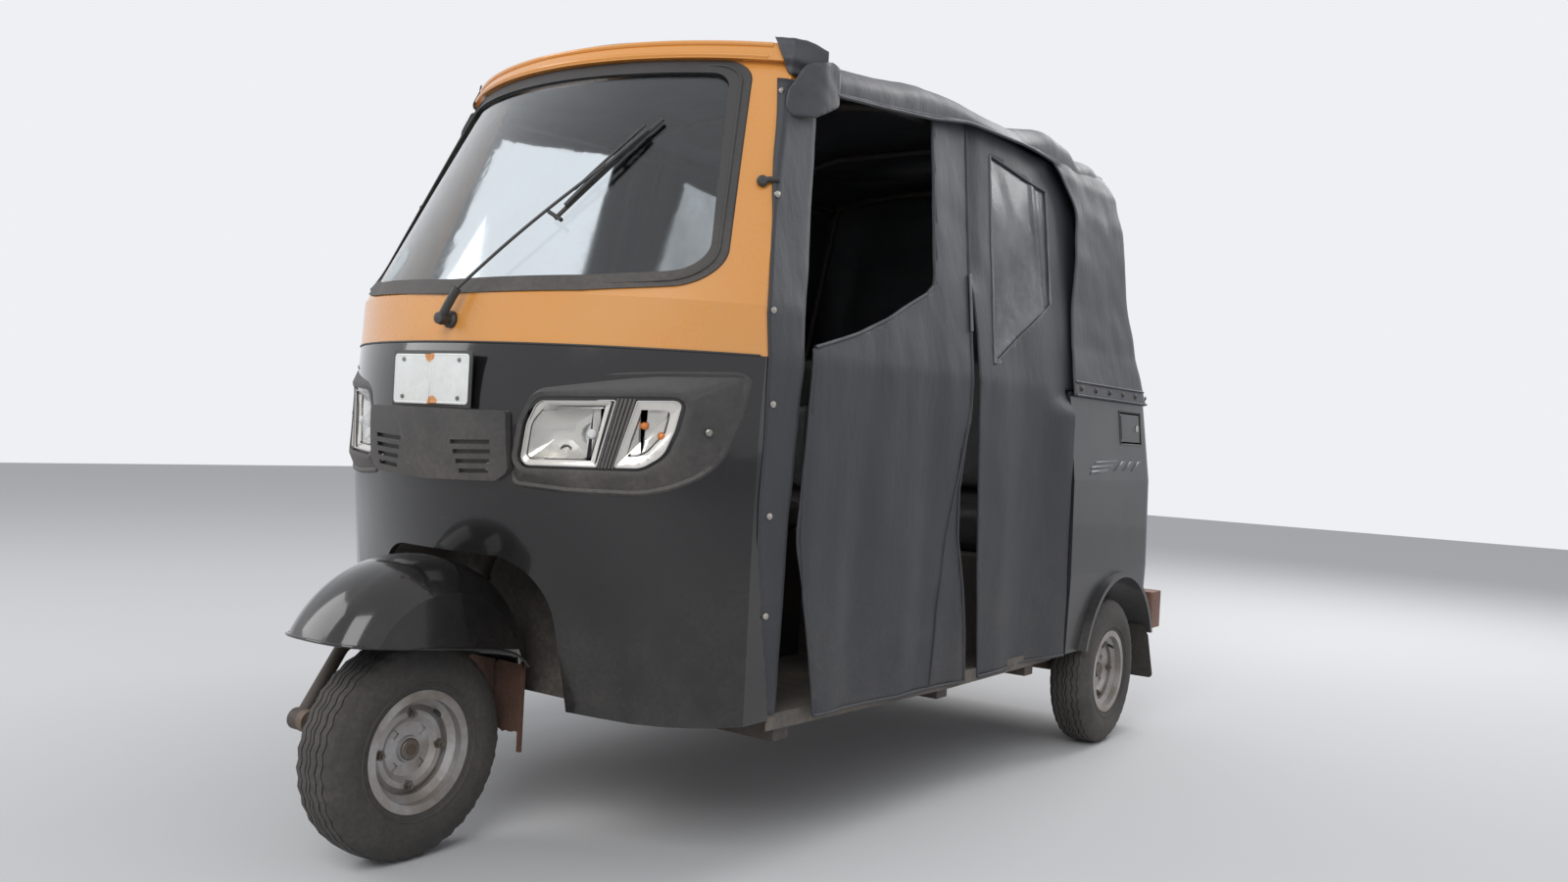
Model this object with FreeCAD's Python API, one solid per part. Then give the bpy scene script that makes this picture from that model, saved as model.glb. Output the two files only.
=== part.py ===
import FreeCAD, Part
import math
import os

# Three-wheeled auto rickshaw, in millimetres. +Z is up, the nose points to -Y and +X is the
# vehicle's left. The origin lies on the ground under the middle of the vehicle's box.

V = FreeCAD.Vector
X_AXIS = V(1, 0, 0)
Y_AXIS = V(0, 1, 0)
Z_AXIS = V(0, 0, 1)
LEFT, RIGHT = 1, -1

# Wheels and tyres
WHEELBASE = 1985.0
REAR_AXLE_Y = 892.5
FRONT_AXLE_Y = REAR_AXLE_Y - WHEELBASE
HALF_TRACK = 601.0
TYRE_R = 208.0
TYRE_W = 114.0
TYRE_WALL = 10.0
BEAD_R = 104.0
RIM_FLANGE_R = 117.0
RIM_W = 98.0
RIM_SHEET = 4.0
RIM_WELL_R = 90.0
DISC_OFFSET = 12.0
DRUM_R = 78.0
DRUM_INNER = -40.0
PLATE_GAP = 6.0
BACKPLATE_T = 8.0
STUB_R = 11.5
STUB_GAP = 0.5

# Steering and front suspension, which hang on the right of the wheel
RAKE_DEG = 24.0
HEAD_Y = -872.0
HEAD_Z = 660.0
STEM_R = 23.5
STEM_GAP = 0.5
HEAD_TUBE_R = 34.0
HEAD_TUBE_LEN = 150.0
STEM_LOW_Z = 505.0
BAR_Z = 985.0
BAR_R = 11.0
BAR_HALF = 310.0
LEG_X = -98.0
LEG_R = 13.0
PIVOT_Y = -1252.0
PIVOT_Z = 270.0
LINK_X0 = -84.0
LINK_X1 = -66.0
FENDER_Y = -1095.0
FENDER_Z = 335.0
FENDER_R = 245.0
FENDER_HALF = 117.0
FENDER_T = 3.0

# Cab skin: the front is part of an upright barrel of this radius, raked back above the sill
CAB_R = 720.0
CAB_WALL = 14.0
COWL_BOTTOM = 290.0
SILL_Z = 720.0
BELT_Z = 988.0
RAKE_START_Z = 1083.0
ROOF_LIP_Z = 1636.0
CAB_FRONT_Y = -1058.0
CAB_TOP_RAKE = 0.5895
ARCH_HALF = 245.0
ARCH_TOP = 585.0
ARCH_CORNER = 120.0
WELL_REAR_Y = -822.0
SHEET = 4.0

# Floor, rear body and canopy
FLOOR_T = 6.0
RAIL_X = 300.0
RAIL_W = 50.0
RAIL_H = 60.0
RAIL_Z = 235.0
FLOOR_Z = RAIL_Z + RAIL_H
BODY_WALL = 10.0
BODY_TOP = 1000.0
BODY_FRONT_Y = 585.0
BODY_HALF = 645.0
REAR_ARCH_Y = 945.0
REAR_ARCH_R = 270.0
ARCH_LIP = 19.0
ENGINE_Y0 = 855.0
ENGINE_Y1 = 1150.0
SEAT_Z = 560.0
SEAT_FRONT_Y = 330.0
FIREWALL_Y = 812.0
FIREWALL_LEAN = 18.0
SEAT_BASE_Z = 606.0
PARTITION_Y = -40.0
TUBE_R = 12.0
B_POST_Y = 0.0
C_POST_Y = 640.0
CANOPY_T = 8.0
CLOTH_T = 6.0
CLOTH_GAP = 0.3
FENDER_TIP_Z = 437.0
FLAP_Y = 1188.0
FLAP_T = 5.0
FLAP_LEAN = 18.0

BUMPER_REAR = -(FENDER_Y - math.sqrt(FENDER_R ** 2 - (FENDER_TIP_Z - FENDER_Z) ** 2))
BUMPER_FRONT = BUMPER_REAR - 92.0
BUMPER_Z0 = 300.0
BUMPER_Z1 = 412.0
BUMPER_HALF = 655.0


# Helpers
def box(x0, x1, y0, y1, z0, z1):
    return Part.makeBox(x1 - x0, y1 - y0, z1 - z0, V(x0, y0, z0))


def rod(p, q, radius):
    axis = V(*q) - V(*p)
    return Part.makeCylinder(radius, axis.Length, V(*p), axis)


def mirrored(shape):
    return shape.mirror(V(0, 0, 0), X_AXIS)


def fuse(*shapes):
    whole = shapes[0].multiFuse(list(shapes[1:])) if len(shapes) > 1 else shapes[0]
    return whole.removeSplitter()


def save(node, *solids):
    shape = solids[0] if len(solids) == 1 else Part.makeCompound(list(solids))
    shape.exportStep("parts/" + node + ".step")


def pair(node, solid):
    save(node, solid, mirrored(solid))


# A rounded outline: rows of (a, b, corner radius) in the plane square to the named axis
def outline(rows, axis, level=0.0):
    def place(a, b):
        return {"x": V(level, a, b), "y": V(a, level, b), "z": V(a, b, level)}[axis]
    edges = []
    ends = []
    count = len(rows)
    for i, (a, b, radius) in enumerate(rows):
        here = place(a, b)
        if radius <= 0:
            ends.append((here, here, here, 0))
            continue
        back = (place(*rows[i - 1][:2]) - here).normalize()
        ahead = (place(*rows[(i + 1) % count][:2]) - here).normalize()
        half = back.getAngle(ahead) / 2
        reach = radius / math.tan(half)
        middle = here + (back + ahead).normalize() * (radius / math.sin(half) - radius)
        ends.append((here + back * reach, middle, here + ahead * reach, radius))
    for i, (start, middle, end, radius) in enumerate(ends):
        if radius > 0:
            edges.append(Part.Arc(start, middle, end).toShape())
        following = ends[(i + 1) % count][0]
        if (following - end).Length > 1e-6:
            edges.append(Part.LineSegment(end, following).toShape())
    return Part.Wire(edges)


def prism(rows, axis, low, high):
    along = {"x": X_AXIS, "y": Y_AXIS, "z": Z_AXIS}[axis]
    return Part.Face(outline(rows, axis, low)).extrude(along * (high - low))


# A round bar along a bent path, with one radius at every bend
def bent_tube(points, radius, bend):
    path = [V(*p) for p in points]
    edges = []
    start = path[0]
    for before, corner, after in zip(path, path[1:], path[2:]):
        back = (before - corner).normalize()
        ahead = (after - corner).normalize()
        half = back.getAngle(ahead) / 2
        reach = bend / math.tan(half)
        middle = corner + (back + ahead).normalize() * (bend / math.sin(half) - bend)
        edges.append(Part.LineSegment(start, corner + back * reach).toShape())
        edges.append(Part.Arc(corner + back * reach, middle, corner + ahead * reach).toShape())
        start = corner + ahead * reach
    edges.append(Part.LineSegment(start, path[-1]).toShape())
    spine = Part.Wire(edges)
    heading = path[1] - path[0]
    ring = Part.Wire([Part.makeCircle(radius, path[0], heading)])
    return spine.makePipeShell([ring], True, False)


# A solid of revolution: rows of (distance along the axis, radius)
def revolved(rows, centre, axis=X_AXIS):
    frame = FreeCAD.Rotation(X_AXIS, axis)
    points = [V(a, 0, r) for a, r in rows]
    face = Part.Face(Part.makePolygon(points + points[:1]))
    solid = face.revolve(V(0, 0, 0), X_AXIS, 360)
    solid.Placement = FreeCAD.Placement(centre, frame)
    return solid


# Points on the steering axis
STEER_AXIS = V(0, math.sin(math.radians(RAKE_DEG)), math.cos(math.radians(RAKE_DEG)))


def on_axis(z):
    return V(0, HEAD_Y, HEAD_Z) + STEER_AXIS * ((z - HEAD_Z) / STEER_AXIS.z)


# Wheels: u runs outwards along the axle from the wheel's middle plane
def tyre(centre):
    half = TYRE_W / 2
    seat = RIM_W / 2 - 3
    outer = [
        Part.LineSegment(V(-seat + 12, 0, BEAD_R), V(-seat, 0, BEAD_R)),
        Part.LineSegment(V(-seat, 0, BEAD_R), V(-seat, 0, RIM_FLANGE_R)),
        Part.Arc(V(-seat, 0, RIM_FLANGE_R), V(-half, 0, 158), V(-half + 13, 0, TYRE_R - 11)),
        Part.Arc(V(-half + 13, 0, TYRE_R - 11), V(0, 0, TYRE_R), V(half - 13, 0, TYRE_R - 11)),
        Part.Arc(V(half - 13, 0, TYRE_R - 11), V(half, 0, 158), V(seat, 0, RIM_FLANGE_R)),
        Part.LineSegment(V(seat, 0, RIM_FLANGE_R), V(seat, 0, BEAD_R)),
        Part.LineSegment(V(seat, 0, BEAD_R), V(seat - 12, 0, BEAD_R)),
    ]
    wall = half - TYRE_WALL
    inner = [
        V(seat - 12, 0, BEAD_R), V(seat - 10, 0, RIM_FLANGE_R), V(wall, 0, 158),
        V(wall - 8, 0, TYRE_R - 20), V(-wall + 8, 0, TYRE_R - 20), V(-wall, 0, 158),
        V(-seat + 10, 0, RIM_FLANGE_R), V(-seat + 12, 0, BEAD_R),
    ]
    edges = [piece.toShape() for piece in outer]
    edges += [Part.LineSegment(a, b).toShape() for a, b in zip(inner, inner[1:])]
    ring = Part.Face(Part.Wire(edges)).revolve(V(0, 0, 0), X_AXIS, 360)
    ring.translate(centre)
    return ring


def rim(centre, out):
    lip = RIM_W / 2
    seat = lip - 3
    t = RIM_SHEET
    barrel = [
        (-lip, RIM_FLANGE_R), (-seat, RIM_FLANGE_R), (-seat, BEAD_R), (-30, BEAD_R), (-22, RIM_WELL_R),
        (22, RIM_WELL_R), (30, BEAD_R), (seat, BEAD_R), (seat, RIM_FLANGE_R), (lip, RIM_FLANGE_R),
        (lip, BEAD_R - t), (32, BEAD_R - t), (24, RIM_WELL_R - t), (-24, RIM_WELL_R - t),
        (-32, BEAD_R - t), (-lip, BEAD_R - t),
    ]
    disc = [
        (DISC_OFFSET, RIM_WELL_R - t), (DISC_OFFSET + 8, 74), (DISC_OFFSET + 8, 64), (DISC_OFFSET, 52),
        (DISC_OFFSET, 26), (DISC_OFFSET + 6, 24), (DISC_OFFSET + 6, STUB_R + STUB_GAP),
        (DRUM_INNER + 6, STUB_R + STUB_GAP), (DRUM_INNER + 6, 26), (DISC_OFFSET - 8, 30),
        (DISC_OFFSET - 8, DRUM_R - 8), (DRUM_INNER, DRUM_R - 8), (DRUM_INNER, DRUM_R),
        (DISC_OFFSET - 4, DRUM_R), (DISC_OFFSET - 4, RIM_WELL_R - t),
    ]
    solid = fuse(revolved(barrel, V(0, 0, 0)), revolved(disc, V(0, 0, 0)))
    # four slots round the hub
    for turn in range(4):
        slot = box(DISC_OFFSET - 4, DISC_OFFSET + 12, -7, 7, 36, 52)
        slot.rotate(V(0, 0, 0), X_AXIS, 45 + 90 * turn)
        solid = solid.cut(slot)
    if out < 0:
        solid.rotate(V(0, 0, 0), Z_AXIS, 180)
    solid.translate(centre)
    return solid


# What carries a wheel from inside: drum backing plate, stub axle and boss
def hub_carrier(centre, out, arm_u):
    plate_u = DRUM_INNER - PLATE_GAP
    rows = [
        (arm_u, 0), (arm_u, 24), (plate_u - BACKPLATE_T, 24), (plate_u - BACKPLATE_T, DRUM_R - 2),
        (plate_u, DRUM_R - 2), (plate_u, STUB_R), (DISC_OFFSET + 12, STUB_R), (DISC_OFFSET + 12, 0),
    ]
    solid = revolved(rows, V(0, 0, 0))
    if out < 0:
        solid.rotate(V(0, 0, 0), Z_AXIS, 180)
    solid.translate(centre)
    return solid


# A coil-over damper between two eyes
def damper(low, high, coil_r):
    axis = V(*high) - V(*low)
    length = axis.Length
    rows = [(0, 0), (0, 9), (18, 9), (18, coil_r)]
    turns = 7
    pitch = (length - 50) / turns
    for turn in range(turns):
        at = 18 + turn * pitch
        rows += [(at + pitch * 0.5, coil_r), (at + pitch * 0.5, coil_r - 6), (at + pitch, coil_r - 6)]
        rows += [(at + pitch, coil_r)]
    rows += [(length - 24, coil_r), (length - 24, 9), (length, 9), (length, 0)]
    return revolved(rows, V(*low), axis)


FRONT_HUB = V(0, FRONT_AXLE_Y, TYRE_R)
REAR_HUBS = {"left": (V(HALF_TRACK, REAR_AXLE_Y, TYRE_R), LEFT),
             "right": (V(-HALF_TRACK, REAR_AXLE_Y, TYRE_R), RIGHT)}


def build_wheels():
    save("front_tyre", tyre(FRONT_HUB))
    save("front_rim", rim(FRONT_HUB, LEFT))
    for side, (hub, out) in REAR_HUBS.items():
        save("rear_" + side + "_tyre", tyre(hub))
        save("rear_" + side + "_rim", rim(hub, out))


# Steering column, fork leg, link, damper, handlebar, front fender and its flap
def build_steering():
    stem_foot = on_axis(STEM_LOW_Z)
    stem_top = on_axis(BAR_Z)
    stem = rod(stem_foot, stem_top, STEM_R)
    leg_path = [stem_foot, (LEG_X, -1002, 478), (LEG_X, -1168, 396), (LEG_X, PIVOT_Y, PIVOT_Z)]
    leg = bent_tube(leg_path, LEG_R, 36)
    crown = rod(stem_foot - STEER_AXIS * 22, stem_foot + STEER_AXIS * 30, STEM_R + 5)
    eye = rod((LINK_X0, PIVOT_Y, PIVOT_Z), (LEG_X - LEG_R, PIVOT_Y, PIVOT_Z), 20)
    pin = rod((LINK_X1, PIVOT_Y, PIVOT_Z), (LEG_X - LEG_R - 4, PIVOT_Y, PIVOT_Z), 10)
    fork = fuse(stem, leg, crown, eye).cut(pin)

    pivot_end = rod((LINK_X0, PIVOT_Y, PIVOT_Z), (LINK_X1, PIVOT_Y, PIVOT_Z), 21)
    axle_end = rod((LINK_X0, FRONT_AXLE_Y, TYRE_R), (LINK_X1, FRONT_AXLE_Y, TYRE_R), 27)
    web = prism([(PIVOT_Y - 6, PIVOT_Z - 18, 0), (FRONT_AXLE_Y - 8, TYRE_R - 24, 0),
                 (FRONT_AXLE_Y + 8, TYRE_R + 24, 0), (PIVOT_Y + 6, PIVOT_Z + 19, 0)], "x", LINK_X0, LINK_X1)
    link = fuse(pivot_end, axle_end, web, pin, hub_carrier(FRONT_HUB, LEFT, LINK_X1))

    coil = damper((-93.4, -1110, 236), (-93.4, -1062, 428), 19)
    bar_mid = on_axis(BAR_Z)
    bar = bent_tube([(-BAR_HALF, bar_mid.y + 40, BAR_Z + 14), (-150, bar_mid.y, BAR_Z + 14),
                     (150, bar_mid.y, BAR_Z + 14), (BAR_HALF, bar_mid.y + 40, BAR_Z + 14)], BAR_R, 60)
    grips = [rod((side * (BAR_HALF + 4), bar_mid.y + 41, BAR_Z + 14),
                 (side * (BAR_HALF - 118), bar_mid.y + 11.5, BAR_Z + 14), 17) for side in (LEFT, RIGHT)]
    head = prism([(-95, bar_mid.y - 38, 18), (95, bar_mid.y - 38, 18), (70, bar_mid.y + 30, 18),
                  (-70, bar_mid.y + 30, 18)], "z", BAR_Z - 22, BAR_Z + 34)
    handlebar = fuse(bar, grips[0], grips[1], head).cut(stem)

    tip = V(0, FENDER_Y, FENDER_Z)
    skin = revolved_dome(FENDER_R, FENDER_HALF, tip)
    core = revolved_dome(FENDER_R - FENDER_T, FENDER_HALF - FENDER_T, tip)
    below = prism([(-1400, 448, 0), (-1300, 436, 0), (-905, 392, 0), (-880, 348, 0), (-800, 348, 0),
                   (-800, 40, 0), (-1400, 40, 0)], "x", -200, 200)
    fender = skin.cut(core).cut(below).cut(fuse(stem, crown))

    flap = box(-78, 78, -872, -866, 215, 348)
    stay = box(78, 88, -874, -868, 176, 360)
    save("steering_fork", fork)
    save("front_link", link)
    save("front_damper", coil)
    save("handlebar", handlebar)
    save("front_fender", fender)
    save("front_mudflap", fuse(flap, stay).cut(fender))


# The fender's round dome: flat sides and a crowned tread, turned about a line along X
def revolved_dome(radius, half, centre):
    side = radius - 62
    edges = [
        Part.LineSegment(V(-half, 0, 0), V(-half, 0, side)),
        Part.Arc(V(-half, 0, side), V(-half * 0.74, 0, radius - 22), V(-half * 0.36, 0, radius - 4)),
        Part.Arc(V(-half * 0.36, 0, radius - 4), V(0, 0, radius), V(half * 0.36, 0, radius - 4)),
        Part.Arc(V(half * 0.36, 0, radius - 4), V(half * 0.74, 0, radius - 22), V(half, 0, side)),
        Part.LineSegment(V(half, 0, side), V(half, 0, 0)),
        Part.LineSegment(V(half, 0, 0), V(-half, 0, 0)),
    ]
    face = Part.Face(Part.Wire([edge.toShape() for edge in edges]))
    solid = face.revolve(V(0, 0, 0), X_AXIS, 360)
    solid.translate(centre)
    return solid


# Cab skin sections, one row each: height, middle front y, inner x and y of the corner arc,
# its middle x and y, the side's x and y, and the y where the side ends at the doorway
def barrel_row(z, front_y, side_x, jamb_y):
    def sag(x):
        return CAB_R - math.sqrt(CAB_R ** 2 - x ** 2)
    inner = side_x * 0.68
    middle = side_x * 0.85
    return (z, front_y, inner, front_y + sag(inner), middle, front_y + sag(middle),
            side_x, front_y + sag(side_x), jamb_y)


def raked_front(z):
    return CAB_FRONT_Y + 5 + CAB_TOP_RAKE * (z - RAKE_START_Z)


COWL_ROWS = [
    (COWL_BOTTOM, -923, 392, -890, 492, -832, 552, -752, -672),
    (500, -993, 390, -917, 488, -852, 562, -767, -680),
    barrel_row(SILL_Z, CAB_FRONT_Y, 570, -686),
    barrel_row(BELT_Z, CAB_FRONT_Y, 575, -690),
]
UPPER_ROWS = [
    barrel_row(BELT_Z, CAB_FRONT_Y, 575, -690),
    barrel_row(RAKE_START_Z, raked_front(RAKE_START_Z), 567, -680),
    barrel_row(ROOF_LIP_Z, raked_front(ROOF_LIP_Z), 455, -500),
]


def cab_wire(row, inset, jamb_gap):
    z, front, xa, ya, xm, ym, xs, ys, jamb = row
    centre = V(0, front + CAB_R, z)

    def moved(x, y):
        point = V(x, y, z)
        return point + (centre - point).normalize() * inset
    jamb += jamb_gap
    mid, a, m, s = moved(0, front), moved(xa, ya), moved(xm, ym), moved(xs, ys)
    a2, m2, s2 = [V(-p.x, p.y, z) for p in (a, m, s)]
    return Part.Wire([
        Part.Arc(a2, mid, a).toShape(),
        Part.Arc(a, m, s).toShape(),
        Part.LineSegment(s, V(s.x, jamb, z)).toShape(),
        Part.LineSegment(V(s.x, jamb, z), V(s2.x, jamb, z)).toShape(),
        Part.LineSegment(V(s2.x, jamb, z), s2).toShape(),
        Part.Arc(s2, m2, a2).toShape(),
    ])


def cab_solid(rows, inset, jamb_gap=0.0):
    ruled = rows is UPPER_ROWS
    return Part.makeLoft([cab_wire(row, inset, jamb_gap) for row in rows], True, ruled)


def cab_band(rows, outer, inner):
    return cab_solid(rows, outer).cut(cab_solid(rows, inner, 60))


# Outline of the screen opening seen from the front, mirrored about the middle
def screen_rows(inset=0.0):
    low = RAKE_START_Z + 4 + inset
    half = [(300, 1098 + inset, 0), (410, 1110 + inset, 0), (502 - inset, 1124 + inset, 62 - inset / 2),
            (396 - inset, 1586 - inset, 52 - inset / 2), (200, 1586 - inset, 0)]
    left = [(-x, z, r) for x, z, r in half][::-1]
    return [(0, low, 0)] + half + left


def screen_prism(inset):
    return prism(screen_rows(inset), "y", -1300, -300)


ARCH_ROWS = [(-ARCH_HALF, 200, 0), (ARCH_HALF, 200, 0), (ARCH_HALF, ARCH_TOP, ARCH_CORNER),
             (-ARCH_HALF, ARCH_TOP, ARCH_CORNER)]

# Headlamp outlines seen from the front, on the left side: x, z, corner radius
BEZEL_ROWS = [(200, 714, 22), (452, 714, 60), (536, 776, 60), (568, 880, 40), (569, 957, 26),
              (440, 950, 0), (255, 932, 34), (203, 880, 60)]
LAMP_ROWS = [(207, 764, 14), (346, 769, 3), (371, 890, 4), (248, 884, 26), (216, 846, 40)]
SIGNAL_ROWS = [(375, 769, 4), (420, 774, 40), (462, 834, 30), (472, 896, 16), (406, 892, 4)]
LENS_PROUD = 7.0
LAMP_DEPTH = 55.0


def build_cab():
    arch = prism(ARCH_ROWS, "y", -1300, -700)
    lens_hole = fuse(prism(LAMP_ROWS, "y", -1200, -700), prism(SIGNAL_ROWS, "y", -1200, -700))
    cowl = cab_band(COWL_ROWS, 0, CAB_WALL).cut(arch).cut(lens_hole).cut(mirrored(lens_hole))
    save("front_cowl", cowl)

    screen_hole = screen_prism(0)
    surround = cab_band(UPPER_ROWS, 0, CAB_WALL)
    roof_cap = box(-500, 500, -800, -560, ROOF_LIP_Z - 10, ROOF_LIP_Z).common(cab_solid(UPPER_ROWS, 4))
    visor = cab_band(UPPER_ROWS, -16, -0.01).common(box(-480, 480, -900, -480, ROOF_LIP_Z - 40, ROOF_LIP_Z))
    surround = fuse(surround, roof_cap, visor).cut(screen_hole)
    save("windscreen_surround", surround)

    glass = screen_prism(13).common(cab_band(UPPER_ROWS, 4, 9))
    seal_body = screen_hole.cut(screen_prism(24)).common(cab_band(UPPER_ROWS, 0, CAB_WALL))
    seal_lip = screen_prism(-7).cut(screen_prism(22)).common(cab_band(UPPER_ROWS, -4, 0))
    save("windscreen_seal", fuse(seal_body, seal_lip).cut(glass))
    save("windscreen_glass", glass)

    front_part = box(150, 700, -1200, -744, 600, 1100)
    skin = cab_band(COWL_ROWS, -16, 0).common(front_part)
    bezel = skin.common(prism(BEZEL_ROWS, "y", -1200, -700)).cut(lens_hole)
    lens = cab_band(COWL_ROWS, -LENS_PROUD, LAMP_DEPTH).common(front_part).common(lens_hole)
    pair("headlamp_bezels", bezel)
    pair("headlamps", Part.makeCompound(lens.Solids))

    grille_rows = [(-199, 748, 20), (-172, 730, 20), (0, 724, 0), (172, 730, 20), (199, 748, 20),
                   (196, 860, 8), (-196, 860, 8)]
    face = cab_band(COWL_ROWS, -13, 0).common(prism(grille_rows, "y", -1200, -900))
    inner_zone = cab_band(COWL_ROWS, -20, -5)
    # four slots each side, one row each: outer x, inner x, height
    for outer_x, inner_x, z in [(164, 72, 806), (164, 78, 788), (162, 84, 770), (158, 90, 752)]:
        for side in (LEFT, RIGHT):
            slot = prism([(side * outer_x, z, 0), (side * outer_x, z - 8, 0),
                          (side * inner_x, z - 12, 0), (side * inner_x, z - 4, 0)], "y", -1200, -900)
            face = face.cut(slot.common(inner_zone))
    save("nose_grille", face)

    plate = box(-107, 107, CAB_FRONT_Y - 22, CAB_FRONT_Y - 20, 868, 964)
    holder = box(-62, 62, CAB_FRONT_Y - 20, CAB_FRONT_Y + 20, 884, 950).cut(cab_solid(COWL_ROWS, 0))
    save("number_plate", fuse(plate, holder))


def skin_point(x, z, proud):
    sag = CAB_R - math.sqrt(CAB_R ** 2 - x ** 2)
    front = CAB_FRONT_Y if z < RAKE_START_Z else raked_front(z)
    return V(x, front + sag - proud, z)


# Wheel well behind the arch, the dashboard, the wiper and the floor
def build_cab_inside():
    tunnel_rows = [(a + math.copysign(5, a), b if b < 300 else b + 5, r) for a, b, r in ARCH_ROWS]
    tunnel = prism(tunnel_rows, "y", -1060, WELL_REAR_Y)
    hollow = prism(ARCH_ROWS, "y", -1100, WELL_REAR_Y - SHEET)
    above = box(-400, 400, -1200, -700, COWL_BOTTOM, 800)
    stem_way = rod(on_axis(ARCH_TOP - 30), on_axis(ARCH_TOP + 150), STEM_R + 12)
    well = tunnel.cut(hollow).common(above).common(cab_solid(COWL_ROWS, CAB_WALL)).cut(stem_way)
    save("wheel_well", well)

    shelf = cab_solid(COWL_ROWS, CAB_WALL).cut(cab_solid(COWL_ROWS, CAB_WALL + 78, 60))
    shelf = shelf.common(box(-600, 600, -1100, -800, 900, 958))
    cluster = prism([(-1020, 958, 0), (-968, 958, 0), (-956, 1030, 10), (-1012, 1036, 10)], "x", -95, 95)
    save("dashboard", fuse(shelf, cluster))

    boss = rod(skin_point(30, 1031, -6), skin_point(30, 1031, 30), 11).cut(cab_solid(UPPER_ROWS, 0))
    arm_path = [skin_point(30, 1031, 24), skin_point(62, 1088, 25), skin_point(237, 1345, 24)]
    arm = bent_tube(arm_path, 4.5, 60)
    blade = rod(skin_point(182, 1235, 11), skin_point(293, 1454, 11), 6)
    link = rod(skin_point(237, 1345, 27), skin_point(237, 1345, 12), 6)
    save("wiper", fuse(boss, arm, blade, link))

    # floor edge from the cab's door jamb back to the rear body: x, y
    edge = [(551, -672), (596, B_POST_Y), (600, BODY_FRONT_Y)]
    beside = [(BODY_ROWS[0][1] - BODY_WALL, BODY_FRONT_Y), (BODY_ROWS[0][1] - BODY_WALL, BODY_FRONT_Y + 72)]
    ring = [(x, y, 0) for x, y in edge + beside] + [(-x, y, 0) for x, y in (edge + beside)[::-1]]
    rear = prism(ring, "z", FLOOR_Z, FLOOR_Z + FLOOR_T)
    front = prism([(-560, -960, 0), (560, -960, 0), (560, -672, 0), (-560, -672, 0)], "z",
                  FLOOR_Z, FLOOR_Z + FLOOR_T).common(cab_solid(COWL_ROWS, CAB_WALL, 0.0))
    rim_rows = edge + [(x - SHEET, y) for x, y in edge[::-1]]
    skirt = prism([(x, y, 0) for x, y in rim_rows], "z", FLOOR_Z - 26, FLOOR_Z)
    floor = fuse(front.cut(tunnel), rear, skirt, mirrored(skirt)).cut(strut(LEFT)).cut(strut(RIGHT))
    save("floor_pan", floor)


# Tube from the steering head down to a rail
def strut(side):
    neck = on_axis(750)
    return bent_tube([neck + V(side * 20, 12, 0), (side * 90, -782, 690), (side * 270, -700, 420),
                      (side * 290, -630, 262)], 15, 60)


# Bracket from the top of a rail's end through the body to the bumper, above the tow pin's way in
def bumper_bracket(side):
    middle = side * RAIL_X
    return box(middle - 20, middle + 20, 1150, BUMPER_REAR - 66, FLOOR_Z - 5, BUMPER_Z0 + 40)


# Two hollow rails with cross members, the head tube and its struts, brackets and the tow eye
def build_chassis():
    pieces = []
    for side in (LEFT, RIGHT):
        x0 = side * RAIL_X - RAIL_W / 2
        pieces.append(box(x0, x0 + RAIL_W, -640, 1200, RAIL_Z, FLOOR_Z))
        bracket = box(RAIL_X, 362, 512, 568, RAIL_Z, FLOOR_Z - 4)
        pieces.append(bracket if side > 0 else mirrored(bracket))
    # cross members: front y, half length
    for y, half in [(-640, 545), (-20, 575), (430, 594), (ENGINE_Y0 - 50, 300), (ENGINE_Y1, 300)]:
        pieces.append(box(-half, half, y, y + 50, RAIL_Z + 8, FLOOR_Z))
    head_low = on_axis(688)
    head = rod(head_low, head_low + STEER_AXIS * HEAD_TUBE_LEN, HEAD_TUBE_R)
    for side in (LEFT, RIGHT):
        pieces.append(strut(side))
    pieces.append(prism([(1200, 242, 0), (1276, 242, 18), (1276, 288, 18), (1200, 288, 0)], "x", -7, 7))
    for side in (LEFT, RIGHT):
        pieces.append(bumper_bracket(side))
    frame = fuse(head, *pieces)
    bore = rod(on_axis(600), on_axis(900), STEM_R + STEM_GAP)
    tow_hole = rod((-20, 1254, 265), (20, 1254, 265), 12)
    hollows = [box(side * RAIL_X - RAIL_W / 2 + 4, side * RAIL_X + RAIL_W / 2 - 4, -641, 1140,
                   RAIL_Z + 4, FLOOR_Z - 4) for side in (LEFT, RIGHT)]
    for hollow in hollows:
        frame = frame.cut(hollow)
    save("chassis", frame.cut(bore).cut(tow_hole))


# Rear body: rows of height, half width, rear y and corner radius
BODY_ROWS = [(COWL_BOTTOM, 640, 1245, 90), (500, BODY_HALF, 1250, 90), (760, 640, 1250, 90),
             (BODY_TOP, 614, 1238, 95)]
HOOD_ROWS = [(BODY_TOP - 14, 624, 1248, 98), (1300, 578, 1188, 105), (1480, 548, 1150, 110),
             (1600, 512, 1122, 118), (1660, 476, 1074, 110), (1692, 420, 1010, 100)]


def shell_wire(row, inset, front_y):
    z, half, rear, corner = row
    half -= inset
    rear -= inset
    corner -= inset
    turn = corner * (1 - math.sqrt(0.5))
    points = [V(-half, front_y, z), V(half, front_y, z), V(half, rear - corner, z),
              V(half - turn, rear - turn, z), V(half - corner, rear, z)]
    left = [V(-p.x, p.y, z) for p in points]
    return Part.Wire([
        Part.LineSegment(points[0], points[1]).toShape(),
        Part.LineSegment(points[1], points[2]).toShape(),
        Part.Arc(points[2], points[3], points[4]).toShape(),
        Part.LineSegment(points[4], left[4]).toShape(),
        Part.Arc(left[4], left[3], left[2]).toShape(),
        Part.LineSegment(left[2], points[0]).toShape(),
    ])


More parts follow.
